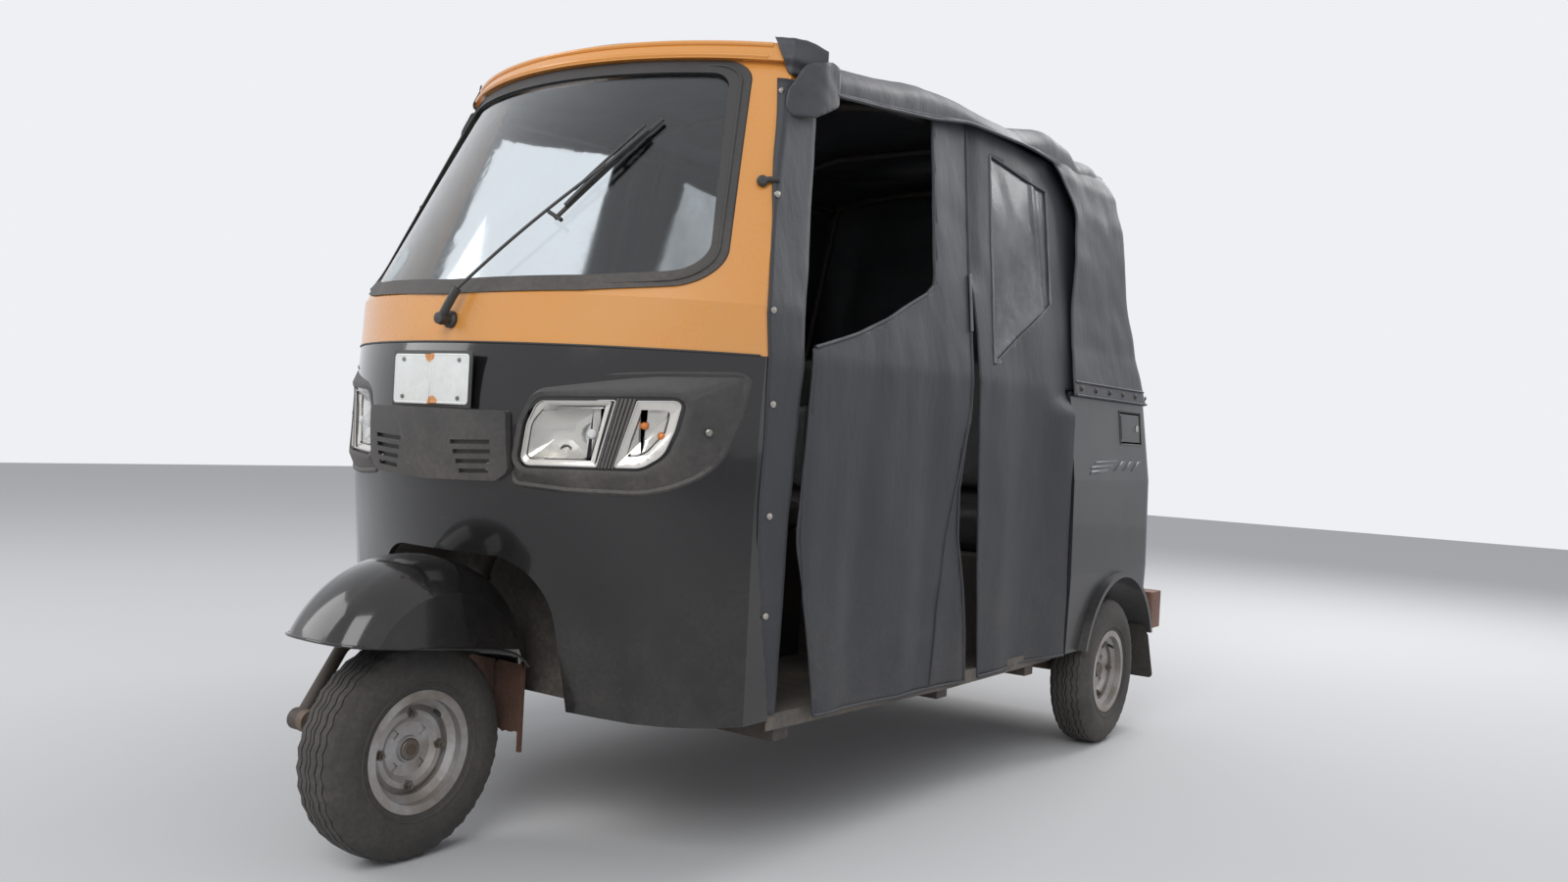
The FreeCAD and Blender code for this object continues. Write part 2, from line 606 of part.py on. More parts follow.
def upright_shell(rows, wall, front_y, over=20):
    outer = Part.makeLoft([shell_wire(row, 0, front_y) for row in rows], True, True)
    low, high = rows[0], rows[-1]
    stretched = [(low[0] - 20,) + low[1:]] + rows[:-1] + [(high[0] + over,) + high[1:]]
    inner = Part.makeLoft([shell_wire(row, wall, front_y - 20) for row in stretched], True, True)
    return outer, inner


LID = (955.0, 1114.0, 874.0, 956.0)
DOOR = (310.0, 470.0, 796.0)


def build_rear_body():
    outer, inner = upright_shell(BODY_ROWS, BODY_WALL, BODY_FRONT_Y)
    skin = outer.cut(inner)
    wall = skin
    for side in (LEFT, RIGHT):
        arch = rod((side * 500, REAR_ARCH_Y, TYRE_R), (side * 700, REAR_ARCH_Y, TYRE_R), REAR_ARCH_R)
        ring = rod((side * 520, REAR_ARCH_Y, TYRE_R), (side * 660, REAR_ARCH_Y, TYRE_R), REAR_ARCH_R + 6)
        tub = ring.cut(arch).common(outer)
        lip = rod((side * 630, REAR_ARCH_Y, TYRE_R), (side * (BODY_HALF + ARCH_LIP), REAR_ARCH_Y, TYRE_R),
                  REAR_ARCH_R + 14).cut(arch).common(box(-700, 700, 600, 1300, COWL_BOTTOM, 600)).cut(inner)
        cheek = rod((side * 520, REAR_ARCH_Y, TYRE_R), (side * 526, REAR_ARCH_Y, TYRE_R), REAR_ARCH_R + 6)
        cheek = cheek.common(box(-700, 700, 600, 1300, 345, 600))
        wall = wall.cut(arch)
        wall = fuse(wall, tub.common(box(-700, 700, 600, 1300, COWL_BOTTOM, 600)), lip, cheek)

    door_x, door_z0, door_z1 = DOOR
    door_hole = box(-door_x - 6, door_x + 6, 1200, 1300, door_z0 - 6, door_z1 + 8.3)
    lid_y0, lid_y1, lid_z0, lid_z1 = LID
    lid_hole = box(560, 700, lid_y0 - 4.3, lid_y1 + 5, lid_z0 - 5, lid_z1 + 5)
    for side in (LEFT, RIGHT):
        wall = wall.cut(bumper_bracket(side))
    save("rear_body", wall.cut(door_hole).cut(lid_hole))

    door = skin.common(box(-door_x, door_x, 1200, 1300, door_z0, door_z1))
    for z in [540, 570, 600, 630, 660]:
        for x in (-190, 30):
            door = door.cut(box(x, x + 160, 1200, 1300, z, z + 12))
    hinges = [rod((x - 35, DOOR_HINGE.y, DOOR_HINGE.z), (x + 35, DOOR_HINGE.y, DOOR_HINGE.z), 4) for x in (-220, 220)]
    tabs = [box(x - 35, x + 35, DOOR_HINGE.y - 4, DOOR_HINGE.y + 2, door_z1 - 3, DOOR_HINGE.z) for x in (-220, 220)]
    save("engine_door", fuse(door, *hinges, *tabs))

    lid = skin.common(box(560, 700, lid_y0, lid_y1, lid_z0, lid_z1))
    pin = rod(LID_HINGE - LID_AXIS * 34, LID_HINGE + LID_AXIS * 34, 4)
    save("fuel_lid", fuse(lid, pin))

    bumper = prism([(-BUMPER_HALF, BUMPER_FRONT, 8), (-BUMPER_HALF + 50, BUMPER_FRONT, 8),
                    (-BUMPER_HALF + 66, BUMPER_REAR - 66, 14), (BUMPER_HALF - 66, BUMPER_REAR - 66, 14),
                    (BUMPER_HALF - 50, BUMPER_FRONT, 8), (BUMPER_HALF, BUMPER_FRONT, 8),
                    (BUMPER_HALF, BUMPER_REAR, 16), (-BUMPER_HALF, BUMPER_REAR, 16)], "z", BUMPER_Z0, BUMPER_Z1)
    bumper = bumper.cut(outer)
    for side in (LEFT, RIGHT):
        bumper = bumper.cut(bumper_bracket(side))
    save("rear_bumper", bumper)

    lamp = prism([(430, 566, 14), (536, 566, 14), (536, 742, 14), (430, 742, 14)], "y", 1225, 1274).cut(outer)
    pair("tail_lamps", lamp)
    flap_top = TYRE_R + math.sqrt(REAR_ARCH_R ** 2 - (FLAP_Y + FLAP_T - REAR_ARCH_Y) ** 2) - CLOTH_GAP
    flap = prism([(546, flap_top, 0), (640, flap_top, 0), (656, 280, 0), (662, 138, 12), (546, 138, 12)], "y",
                 FLAP_Y, FLAP_Y + FLAP_T)
    flap.rotate(V(0, FLAP_Y + FLAP_T, flap_top), X_AXIS, FLAP_LEAN)
    pair("rear_mudflaps", flap)


# Hinge lines of the engine door and the fuel lid, on the body's outer face
def body_face_x(z):
    low, high = BODY_ROWS[2], BODY_ROWS[3]
    return low[1] + (high[1] - low[1]) * (z - low[0]) / (high[0] - low[0])


def body_face_rear(z):
    low, high = BODY_ROWS[2], BODY_ROWS[3]
    return low[2] + (high[2] - low[2]) * (z - low[0]) / (high[0] - low[0])


DOOR_HINGE = V(0, body_face_rear(DOOR[2] + 4), DOOR[2] + 4)
LID_MID_Z = (LID[2] + LID[3]) / 2
LID_HINGE = V(body_face_x(LID_MID_Z), LID[0], LID_MID_Z)
LID_AXIS = (V(body_face_x(LID[3]), LID[0], LID[3]) - V(body_face_x(LID[2]), LID[0], LID[2])).normalize()


def build_rear_drive():
    hub, out = REAR_HUBS["left"]
    carrier = hub_carrier(hub, out, -95)
    bush = rod((362, 540, 265), (440, 540, 265), 26)
    start, end = V(402, 540, 265), V(515, REAR_AXLE_Y, TYRE_R)
    arm = Part.makeCone(17, 22, (end - start).Length, start, end - start)
    shaft = rod((190, REAR_AXLE_Y, TYRE_R), (510, REAR_AXLE_Y, TYRE_R), 12)
    boot = rod((190, REAR_AXLE_Y, TYRE_R), (240, REAR_AXLE_Y, TYRE_R), 34)
    pair("rear_suspension", fuse(carrier, bush, arm, shaft, boot))
    low = start + (end - start) * 0.74 + V(0, 0, 20.3)
    coil = damper((low.x, low.y, low.z + 1), (low.x - 10, low.y + 8, SEAT_Z - 5 - 0.3), 30)
    pair("rear_dampers", coil.cut(arm))
    block = prism([(ENGINE_Y0, 240, 0), (ENGINE_Y0 + 25, 172, 20), (1080, 172, 30), (ENGINE_Y1, 240, 0),
                   (ENGINE_Y1, 470, 30), (1000, 505, 30), (ENGINE_Y0, 480, 30)], "x", -190, 190)
    save("engine_block", block)


def build_inside():
    base = box(-205, 205, -345, -62, FLOOR_Z + FLOOR_T, SEAT_BASE_Z)
    save("driver_seat_base", base.cut(box(-201, 201, -341, -66, FLOOR_Z, SEAT_BASE_Z - SHEET)))
    on_base = SEAT_BASE_Z + CLOTH_GAP
    on_panel = PARTITION_Y - CLOTH_GAP
    cushion = prism([(-410, on_base, 20), (-70, on_base, 20), (-60, 690, 26), (-405, 682, 30)], "x", -235, 235)
    back = prism([(-84, 700, 14), (on_panel, 700, 6), (on_panel, 930, 12), (-70, 930, 12)], "x", -225, 225)
    save("driver_seat", cushion, back)
    panel = box(-560, 560, PARTITION_Y, PARTITION_Y + 6, FLOOR_Z + FLOOR_T, 870)
    save("partition", panel)

    seat = prism([(SEAT_FRONT_Y, FLOOR_Z + FLOOR_T, 0), (SEAT_FRONT_Y, SEAT_Z, 10), (FIREWALL_Y, SEAT_Z, 0),
                  (FIREWALL_Y + FIREWALL_LEAN, BODY_TOP - 4, 0), (FIREWALL_Y + FIREWALL_LEAN + 5, BODY_TOP - 9, 0),
                  (FIREWALL_Y + 5, SEAT_Z - 5, 0), (SEAT_FRONT_Y + 5, SEAT_Z - 5, 0),
                  (SEAT_FRONT_Y + 5, FLOOR_Z + FLOOR_T, 0)], "x", -556, 556)
    _, shelf_room = upright_shell(BODY_ROWS, BODY_WALL + CLOTH_GAP, BODY_FRONT_Y)
    shelf = box(-650, 650, FIREWALL_Y + FIREWALL_LEAN, 1300, BODY_TOP - 9, BODY_TOP - 4).common(shelf_room)
    save("seat_bulkhead", fuse(seat, shelf))
    on_seat = SEAT_Z + CLOTH_GAP
    lean = FIREWALL_LEAN / (BODY_TOP - 4 - SEAT_Z)
    back_low, back_high = 690, 1120
    rear_low = FIREWALL_Y + lean * (back_low - SEAT_Z) - CLOTH_GAP
    rear_high = FIREWALL_Y + lean * (back_high - SEAT_Z) - CLOTH_GAP
    cushion = prism([(SEAT_FRONT_Y - 18, on_seat, 20), (750, on_seat, 10), (740, 680, 20),
                     (SEAT_FRONT_Y - 18, 706, 34)], "x", -548, 548)
    back = prism([(742, back_low, 20), (rear_low, back_low, 0), (rear_high, back_high, 20),
                  (768, back_high, 30)], "x", -540, 540)
    save("passenger_seat", cushion, back)


# Hoops over the body: y, foot height, waist x, shoulder x and z, crown z
HOOPS = [(B_POST_Y, FLOOR_Z + FLOOR_T, 582, 470, 1640, 1676),
         (C_POST_Y, FLOOR_Z + FLOOR_T, 582, 470, 1655, 1704),
         (1000, BODY_TOP - 4, 560, 440, 1632, 1656)]
# Canopy sections: y, edge x and z, shoulder x and z, crown z
CANOPY_ROWS = [(-705, 484, 1600, 470, 1646, 1652), (-480, 506, 1557, 486, 1654, 1676),
               (-40, 512, 1598, 492, 1668, 1706), (192, 512, 1612, 492, 1672, 1716),
               (610, 514, 1588, 492, 1684, 1740), (760, 512, 1600, 488, 1676, 1722),
               (975, 500, 1610, 470, 1680, 1716), (1010, 486, 1610, 440, 1655, 1693)]


def build_canopy_frame():
    pieces = []
    for y, foot_z, waist, shoulder_x, shoulder_z, crown in HOOPS:
        half = [(waist, y, foot_z), (waist, y, 1010), (shoulder_x, y, shoulder_z), (200, y, crown)]
        path = half + [(-x, yy, z) for x, yy, z in half[::-1]]
        pieces.append(bent_tube(path, TUBE_R, 45))
    for side in (LEFT, RIGHT):
        rail = [(side * 448, -520, 1586), (side * 466, B_POST_Y, 1610), (side * 468, C_POST_Y, 1622),
                (side * 446, 1000, 1616)]
        pieces.append(bent_tube(rail, TUBE_R, 900))
    bar = [(-582, B_POST_Y, 882), (582, B_POST_Y, 882)]
    pieces.append(rod(bar[0], bar[1], TUBE_R))
    save("canopy_frame", fuse(*pieces).cut(cab_band(UPPER_ROWS, 0, CAB_WALL)))


def roof_wire(row, inset):
    y, low_x, low_z, sh_x, sh_z, crown = row
    low_x -= inset
    sh_x -= inset
    sh_z -= inset
    crown -= inset
    low_z -= inset * 3
    points = [V(low_x, y, low_z), V(low_x - 4, y, sh_z - 30), V(sh_x - 2, y, sh_z - 6),
              V(sh_x - 40, y, sh_z + (crown - sh_z) * 0.2), V(0, y, crown)]
    left = [V(-p.x, y, p.z) for p in points]
    return Part.Wire([
        Part.LineSegment(left[0], points[0]).toShape(),
        Part.LineSegment(points[0], points[1]).toShape(),
        Part.Arc(points[1], points[2], points[3]).toShape(),
        Part.Arc(points[3], points[4], left[3]).toShape(),
        Part.Arc(left[3], left[2], left[1]).toShape(),
        Part.LineSegment(left[1], left[0]).toShape(),
    ])


# Side sheets, one row a height: z, then outer x at the door jamb, the middle post and the rear
SHEET_PROFILE = [(270, 582, 603, 607), (1000, 584, 603, 607), (1610, 496, 497, 499)]
SHEET_STATIONS = [(-660.0, 1), (B_POST_Y, 2), (700.0, 3)]


def side_sheet(rows, thick=CLOTH_T, inset=0.0):
    wires = []
    for y, column in SHEET_STATIONS:
        outer = [V(row[column] - inset, y, row[0]) for row in SHEET_PROFILE]
        inner = [V(row[column] - inset - thick, y, row[0]) for row in SHEET_PROFILE[::-1]]
        wires.append(Part.makePolygon(outer + inner + outer[:1]))
    return Part.makeLoft(wires, True, True).common(prism(rows, "x", 400, 700))


# Side curtain outlines in y and z, with corner radii. The gap between them leans back as it
# rises, and the front curtain is cut away behind the door opening's lower corner
FRONT_CURTAIN = [(-562, 285, 0), (-572, 350, 0), (-648, 640, 160), (-622, 1019, 0), (-460, 1062, 60), (-337, 1104, 60),
                 (-112, 1200, 60), (-50, 1600, 0), (128, 1606, 0), (66, 1250, 0), (26, 1010, 0), (30, 900, 40),
                 (-22, 790, 60), (-10, 640, 90), (20, 500, 0), (56, 277, 0)]
REAR_CURTAIN = [(140, 277, 0), (116, 500, 0), (82, 800, 0), (64, 1010, 0), (116, 1250, 0), (190, 1606, 0), (690, 1606, 0),
                (690, 1004, 0), (578, 1004, 0), (578, 287, 0)]
CURTAIN_WINDOW = [(246, 1560, 18), (574, 1560, 18), (541, 1232, 18), (153, 1044, 18)]
# Pillar flap edges: height, front y, rear y
FLAP_ROWS = [(300, -742, -655), (690, -762, -668), (1076, -760, -668), (1560, -588, -502)]


def build_soft():
    outer = Part.makeLoft([roof_wire(row, 0) for row in CANOPY_ROWS], True, True)
    last = CANOPY_ROWS[-1]
    stretched = [(-760,) + CANOPY_ROWS[0][1:]] + CANOPY_ROWS[:-1] + [(last[0] - CANOPY_T,) + last[1:]]
    core = Part.makeLoft([roof_wire(row, CANOPY_T) for row in stretched], True, True)
    hood, hood_core = upright_shell(HOOD_ROWS, CANOPY_T, C_POST_Y + 12, -CANOPY_T)
    body, _ = upright_shell(BODY_ROWS, BODY_WALL, BODY_FRONT_Y)
    barrel = fuse(Part.makeCylinder(CAB_R - 30, 400, V(0, raked_front(ROOF_LIP_Z) + CAB_R, 1500)),
                  box(-700, 700, -500, 1400, 900, 1900))
    canopy = fuse(outer, hood).cut(core).cut(hood_core).common(barrel).cut(body)
    save("canopy", canopy)

    window = side_sheet(CURTAIN_WINDOW, 2.0, 2.0)
    front = side_sheet(FRONT_CURTAIN)
    rear = side_sheet(REAR_CURTAIN).cut(side_sheet(CURTAIN_WINDOW, CLOTH_T + 4, -2.0))
    pair("front_curtains", front)
    pair("rear_curtains", rear)
    pair("curtain_windows", window)

    front_edge = [(y, z, 0) for z, y, _ in FLAP_ROWS]
    rear_edge = [(y, z, 0) for z, _, y in FLAP_ROWS[::-1]]
    strip = prism(front_edge + rear_edge, "x", 300, 700)
    flap = None
    for rows, z0, z1 in ((COWL_ROWS, 290, BELT_Z), (UPPER_ROWS, BELT_Z, 1600)):
        band = cab_solid(rows, -CLOTH_T, 30).cut(cab_solid(rows, -CLOTH_GAP, 60))
        piece = band.common(box(300, 700, -900, -400, z0, z1)).common(strip)
        flap = piece if flap is None else flap.fuse(piece)
    pair("pillar_flaps", flap.removeSplitter())


os.makedirs("parts", exist_ok=True)
build_wheels()
build_steering()
build_cab()
build_cab_inside()
build_chassis()
build_rear_body()
build_rear_drive()
build_inside()
build_canopy_frame()
build_soft()
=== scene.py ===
import math
import bmesh
import bpy
from mathutils import Matrix, Vector, noise


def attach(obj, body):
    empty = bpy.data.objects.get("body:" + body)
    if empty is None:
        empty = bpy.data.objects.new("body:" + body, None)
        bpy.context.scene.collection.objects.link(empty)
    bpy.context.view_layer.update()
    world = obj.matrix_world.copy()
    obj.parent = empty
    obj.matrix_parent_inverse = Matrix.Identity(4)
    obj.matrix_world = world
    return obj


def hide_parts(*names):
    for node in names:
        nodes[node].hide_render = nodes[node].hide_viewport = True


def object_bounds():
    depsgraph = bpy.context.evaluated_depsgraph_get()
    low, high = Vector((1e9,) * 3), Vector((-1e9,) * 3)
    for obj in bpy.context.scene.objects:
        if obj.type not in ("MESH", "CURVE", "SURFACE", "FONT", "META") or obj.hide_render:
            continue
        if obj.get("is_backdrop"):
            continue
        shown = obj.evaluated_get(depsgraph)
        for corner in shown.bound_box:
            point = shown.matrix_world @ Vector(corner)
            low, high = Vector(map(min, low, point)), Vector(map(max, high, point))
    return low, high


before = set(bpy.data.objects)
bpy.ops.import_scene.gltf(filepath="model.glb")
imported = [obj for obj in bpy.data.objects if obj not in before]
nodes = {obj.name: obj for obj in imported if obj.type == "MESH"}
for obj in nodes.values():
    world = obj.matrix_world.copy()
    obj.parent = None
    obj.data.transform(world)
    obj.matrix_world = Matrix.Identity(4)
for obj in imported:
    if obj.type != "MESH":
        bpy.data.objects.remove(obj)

cad_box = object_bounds()
scene = bpy.context.scene


# Studio floor, room and soft lamps: the vehicle stands on a plain pale floor. The room looks
# nearly white to the camera, to gloss and through glass, and lights the vehicle softly.
def feed(tree, node, values):
    for key, value in values.items():
        socket = node.inputs[key]
        if isinstance(value, bpy.types.NodeSocket):
            tree.links.new(value, socket)
        elif socket.type == "RGBA" and len(value) == 3:
            socket.default_value = (*value, 1.0)
        else:
            socket.default_value = value


def add(tree, kind, values=None, **settings):
    made = tree.nodes.new("ShaderNode" + kind)
    for key, value in settings.items():
        setattr(made, key, value)
    feed(tree, made, values or {})
    return made


# A value carried from one range to another and held there
def mapped(tree, value, low, high, start=0.0, end=1.0):
    return add(tree, "MapRange", {0: value, 1: low, 2: high, 3: start, 4: end}).outputs[0]


def noised(tree, place, scale, detail, rough=0.5):
    values = {"Vector": place, "Scale": scale, "Detail": detail, "Roughness": rough}
    return add(tree, "TexNoise", values).outputs[0]


def mixed(tree, share, a, b):
    return add(tree, "Mix", {0: share, 6: a, 7: b}, data_type="RGBA").outputs[2]


def sums(tree, kind, a, b, clamp=True):
    return add(tree, "Math", {0: a, 1: b}, operation=kind, use_clamp=clamp).outputs[0]


def bare_look(name):
    look = bpy.data.materials.new(name)
    look.use_nodes = True
    return look, look.node_tree, look.node_tree.nodes["Principled BSDF"]


ROOM_LIGHT = (0.50, 0.515, 0.55)
ROOM_SEEN = (0.86, 0.87, 0.90)
room = scene.world or bpy.data.worlds.new("room")
scene.world = room
room.use_nodes = True
tree = room.node_tree
tree.nodes.clear()
rays = add(tree, "LightPath").outputs
seen = sums(tree, "ADD", rays["Is Camera Ray"], rays["Is Glossy Ray"])
seen = sums(tree, "ADD", seen, rays["Is Transmission Ray"])
walls = add(tree, "Background", {"Color": mixed(tree, seen, ROOM_LIGHT, ROOM_SEEN)})
add(tree, "OutputWorld", {0: walls.outputs[0]})

floor_look, tree, shader = bare_look("studio floor")
feed(tree, shader, {"Base Color": (0.62, 0.62, 0.62), "Roughness": 0.9})
bm = bmesh.new()
bmesh.ops.create_grid(bm, x_segments=4, y_segments=4, size=14)
floor_mesh = bpy.data.meshes.new("studio_floor")
bm.to_mesh(floor_mesh)
bm.free()
floor_mesh.materials.append(floor_look)
studio_floor = bpy.data.objects.new("studio_floor", floor_mesh)
scene.collection.objects.link(studio_floor)
studio_floor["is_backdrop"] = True

# one row a lamp: place, size in metres, watts
LAMPS = (((2.2, -5.4, 4.6), 3.5, 180), ((-4.5, -4.0, 4.0), 3.5, 110), ((1.0, 5.0, 4.5), 3.0, 200))
for spot, size, power in LAMPS:
    lamp = bpy.data.lights.new("soft lamp", "AREA")
    lamp.shape = "SQUARE"
    lamp.size = size
    lamp.energy = power
    holder = bpy.data.objects.new("soft lamp", lamp)
    holder.location = spot
    holder.rotation_euler = (Vector((0, 0, 0.8)) - Vector(spot)).to_track_quat("-Z", "Y").to_euler()
    scene.collection.objects.link(holder)


# Camera: it stands where the photograph was taken, in front and to the vehicle's left, low
# down on a 29 mm lens, and leans a little to one side.
CAMERA_AT = Vector((1.9656, -2.6871, 0.8504))
CAMERA_YAW, CAMERA_PITCH, CAMERA_ROLL = 0.6105, -0.0074, 0.0536
ahead = Vector((-math.sin(CAMERA_YAW), math.cos(CAMERA_YAW), 0))
across = Vector((math.cos(CAMERA_YAW), math.sin(CAMERA_YAW), 0))
looking = ahead * math.cos(CAMERA_PITCH) + Vector((0, 0, math.sin(CAMERA_PITCH)))
upright = Vector((0, 0, math.cos(CAMERA_PITCH))) - ahead * math.sin(CAMERA_PITCH)
rightwards = across * math.cos(CAMERA_ROLL) + upright * math.sin(CAMERA_ROLL)
upwards = upright * math.cos(CAMERA_ROLL) - across * math.sin(CAMERA_ROLL)
view_camera = bpy.data.cameras.new("camera")
view_camera.sensor_width = 36.0
view_camera.lens = 29.25
camera = bpy.data.objects.new("camera", view_camera)
camera.matrix_world = Matrix.Translation(CAMERA_AT) @ Matrix((rightwards, upwards,
    -looking)).transposed().to_4x4()
scene.collection.objects.link(camera)
scene.camera = camera
scene.view_settings.view_transform = "Standard"


# Frame, floor and suspension: welded steel rails, tubes and pressed panels under brushed black
# paint, with rust and road dust, and a cast block for the engine and gearbox.
FLOAT = "NodeSocketFloat"


def new_group(name, entries, exit_name):
    tree = bpy.data.node_groups.new(name, "ShaderNodeTree")
    for label, value in entries.items():
        tree.interface.new_socket(label, in_out="INPUT", socket_type=FLOAT).default_value = value
    tree.interface.new_socket(exit_name, in_out="OUTPUT", socket_type=FLOAT)
    given = tree.nodes.new("NodeGroupInput").outputs
    result = tree.nodes.new("NodeGroupOutput").inputs[exit_name]
    return tree, given, result, add(tree, "TexCoord").outputs["Object"]


# soft clouds of wear or fading
patches, given, result, place = new_group("patches", {"Scale": 3.0, "Contrast": 1.0}, "Mask")
cloud = noised(patches, place, given["Scale"], 5.0, 0.6)
spread = sums(patches, "MULTIPLY", sums(patches, "SUBTRACT", cloud, 0.5, False), given["Contrast"],
    False)
patches.links.new(sums(patches, "ADD", spread, 0.5), result)

# dust, thickest low down and broken up by a coarse and a fine noise
dust, given, result, place = new_group("dust", {"Low": 0.2, "High": 0.8, "Amount": 0.5, "Base": 0.05},
    "Mask")
height = add(dust, "SeparateXYZ", {0: place}).outputs["Z"]
fall = mapped(dust, height, given["Low"], given["High"], 1.0, 0.0)
broken = mapped(dust, noised(dust, place, 5.0, 6.0, 0.65), 0.35, 0.7)
speck = mapped(dust, noised(dust, place, 90.0, 4.0, 0.7), 0.3, 0.75, 0.4, 1.2)
settled = sums(dust, "MULTIPLY", sums(dust, "MULTIPLY", fall, given["Amount"]), broken)
veil = sums(dust, "MULTIPLY", sums(dust, "ADD", settled, given["Base"]), speck)
dust.links.new(veil, result)

# pebbled skin of vinyl, moulded plastic or sprayed paint, as a height
grain, given, result, place = new_group("grain", {"Scale": 400.0, "Drift": 0.4}, "Height")
cells = add(grain, "TexVoronoi", {"Vector": place, "Scale": given["Scale"]},
    feature="SMOOTH_F1").outputs["Distance"]
drift = sums(grain, "MULTIPLY", noised(grain, place, 14.0, 3.0), given["Drift"])
grain.links.new(sums(grain, "ADD", cells, drift, False), result)

# fine stretched lines, where a coarse noise lets them
scratches, given, result, place = new_group("scratches", {"Scale": 12.0, "Amount": 0.5}, "Mask")
values = {"Vector": place, "Rotation": (0.5, 0.9, 0.3), "Scale": (1, 22, 1)}
slanted = add(scratches, "Mapping", values).outputs[0]
sharp = mapped(scratches, noised(scratches, slanted, given["Scale"], 3.0, 0.7), 0.66, 0.72)
area = mapped(scratches, noised(scratches, place, 3.0, 3.0), 0.45, 0.65)
marks = sums(scratches, "MULTIPLY", sharp, area)
scratches.links.new(sums(scratches, "MULTIPLY", marks, given["Amount"]), result)


def placed(tree, group, **values):
    return add(tree, "Group", values, node_tree=group).outputs[0]


# A finish: a colour that fades to a second one in patches, with scratches, dust and a grain.
# patch is scale and contrast; dusty is the heights from thick to thin, amount and base veil;
# skin is the grain's scale, drift and strength.
def finish(name, color, faded, roughness, metallic=0.0, coat=0.0, patch=(3.0, 1.6),
        dusty=(0.2, 0.8, 0.5, 0.03), dust_color=(0.30, 0.25, 0.20), skin=(500.0, 0.4, 0.05),
        scored=0.0):
    look, tree, shader = bare_look(name)
    wear = placed(tree, patches, Scale=patch[0], Contrast=patch[1])
    tone = mixed(tree, wear, color, faded)
    if scored:
        marks = placed(tree, scratches, Scale=14.0, Amount=scored)
        tone = mixed(tree, marks, tone, tuple(0.25 + 0.5 * part for part in faded))
    veil = placed(tree, dust, Low=dusty[0], High=dusty[1], Amount=dusty[2], Base=dusty[3])
    rough = mapped(tree, wear, 0.2, 0.8, roughness * 0.85, min(roughness * 1.2, 1.0))
    pebble = placed(tree, grain, Scale=skin[0], Drift=skin[1])
    relief = add(tree, "Bump", {"Height": pebble, "Strength": skin[2], "Distance": 0.002})
    feed(tree, shader, {"Base Color": mixed(tree, veil, tone, dust_color), "Metallic": metallic,
        "Roughness": mapped(tree, veil, 0.0, 1.0, rough, 0.9), "Coat Weight": coat,
        "Coat Roughness": 0.05, "Normal": relief.outputs[0]})
    return look


def dress(look, *names):
    for name in names:
        mesh = nodes[name].data
        mesh.materials.clear()
        mesh.materials.append(look)


frame_paint = finish("frame paint", (0.016, 0.016, 0.018), (0.046, 0.032, 0.025), 0.55,
    patch=(7.0, 2.4), dusty=(0.2, 0.6, 0.35, 0.04))
floor_paint = finish("floor paint", (0.045, 0.046, 0.050), (0.10, 0.085, 0.07), 0.65, patch=(4.0, 2.2),
    dusty=(0.25, 0.5, 0.8, 0.10))
arm_steel = finish("suspension steel", (0.035, 0.033, 0.032), (0.12, 0.065, 0.040), 0.6, metallic=0.3,
    patch=(9.0, 3.0), dusty=(0.15, 0.5, 0.8, 0.15))
cast_metal = finish("cast engine metal", (0.34, 0.34, 0.35), (0.16, 0.14, 0.12), 0.55, metallic=0.7,
    patch=(5.0, 2.4), dusty=(0.15, 0.5, 0.8, 0.12), skin=(260.0, 0.3, 0.25))
dress(frame_paint, "chassis", "canopy_frame", "driver_seat_base", "steering_fork")
dress(floor_paint, "floor_pan", "partition", "seat_bulkhead")
dress(arm_steel, "front_link", "rear_suspension", "handlebar")
dress(cast_metal, "engine_block")


# Coil springs over dampers: a turned steel body between two eyes inside a wound spring. One
# stands beside the front wheel, and one between each rear arm and the body.
SIDES = (("left", 1), ("right", -1))


def piece(bm, name, body, look, smooth=35, replaces=()):
    bmesh.ops.remove_doubles(bm, verts=bm.verts[:], dist=1e-5)
    bmesh.ops.recalc_face_normals(bm, faces=bm.faces[:])
    mesh = bpy.data.meshes.new(name)
    bm.to_mesh(mesh)
    bm.free()
    mesh.materials.append(look)
    mesh.shade_smooth()
    mesh.set_sharp_from_angle(angle=math.radians(smooth))
    made = bpy.data.objects.new(name, mesh)
    scene.collection.objects.link(made)
    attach(made, body)
    if replaces:
        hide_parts(*replaces)
    return made


# Rows of (distance along the axis, radius), turned about it from one end to the other
def add_turned(bm, rows, centre, axis, steps=32):
    direction = Vector(axis).normalized()
    side = direction.orthogonal().normalized()
    at = Vector(centre)
    ring = [bm.verts.new(at + direction * along + side * radius) for along, radius in rows]
    edges = [bm.edges.new(pair) for pair in zip(ring, ring[1:])]
    bmesh.ops.spin(bm, geom=ring + edges, cent=at, axis=direction, angle=math.tau, steps=steps,
        use_merge=True)
    bmesh.ops.remove_doubles(bm, verts=bm.verts[:], dist=1e-6)


def add_coil(bm, low, high, radius, wire, turns):
    axis = Vector(high) - Vector(low)
    direction = axis.normalized()
    side = direction.orthogonal().normalized()
    start = Vector(low) + direction * wire
    tilt = Matrix((side, direction, side.cross(direction))).transposed().to_4x4()
    made = bmesh.ops.create_circle(bm, segments=8, radius=wire, cap_ends=False,
        matrix=Matrix.Translation(start + side * radius) @ tilt)
    edges = list({edge for vert in made["verts"] for edge in vert.link_edges})
    steps = turns * 20
    climb = direction * ((axis.length - 2 * wire) / steps)
    wound = bmesh.ops.spin(bm, geom=made["verts"] + edges, cent=start, axis=direction, dvec=climb,
        angle=math.tau * turns, steps=steps)
    last = [part for part in wound["geom_last"] if isinstance(part, bmesh.types.BMEdge)]
    bmesh.ops.holes_fill(bm, edges=edges + last, sides=0)


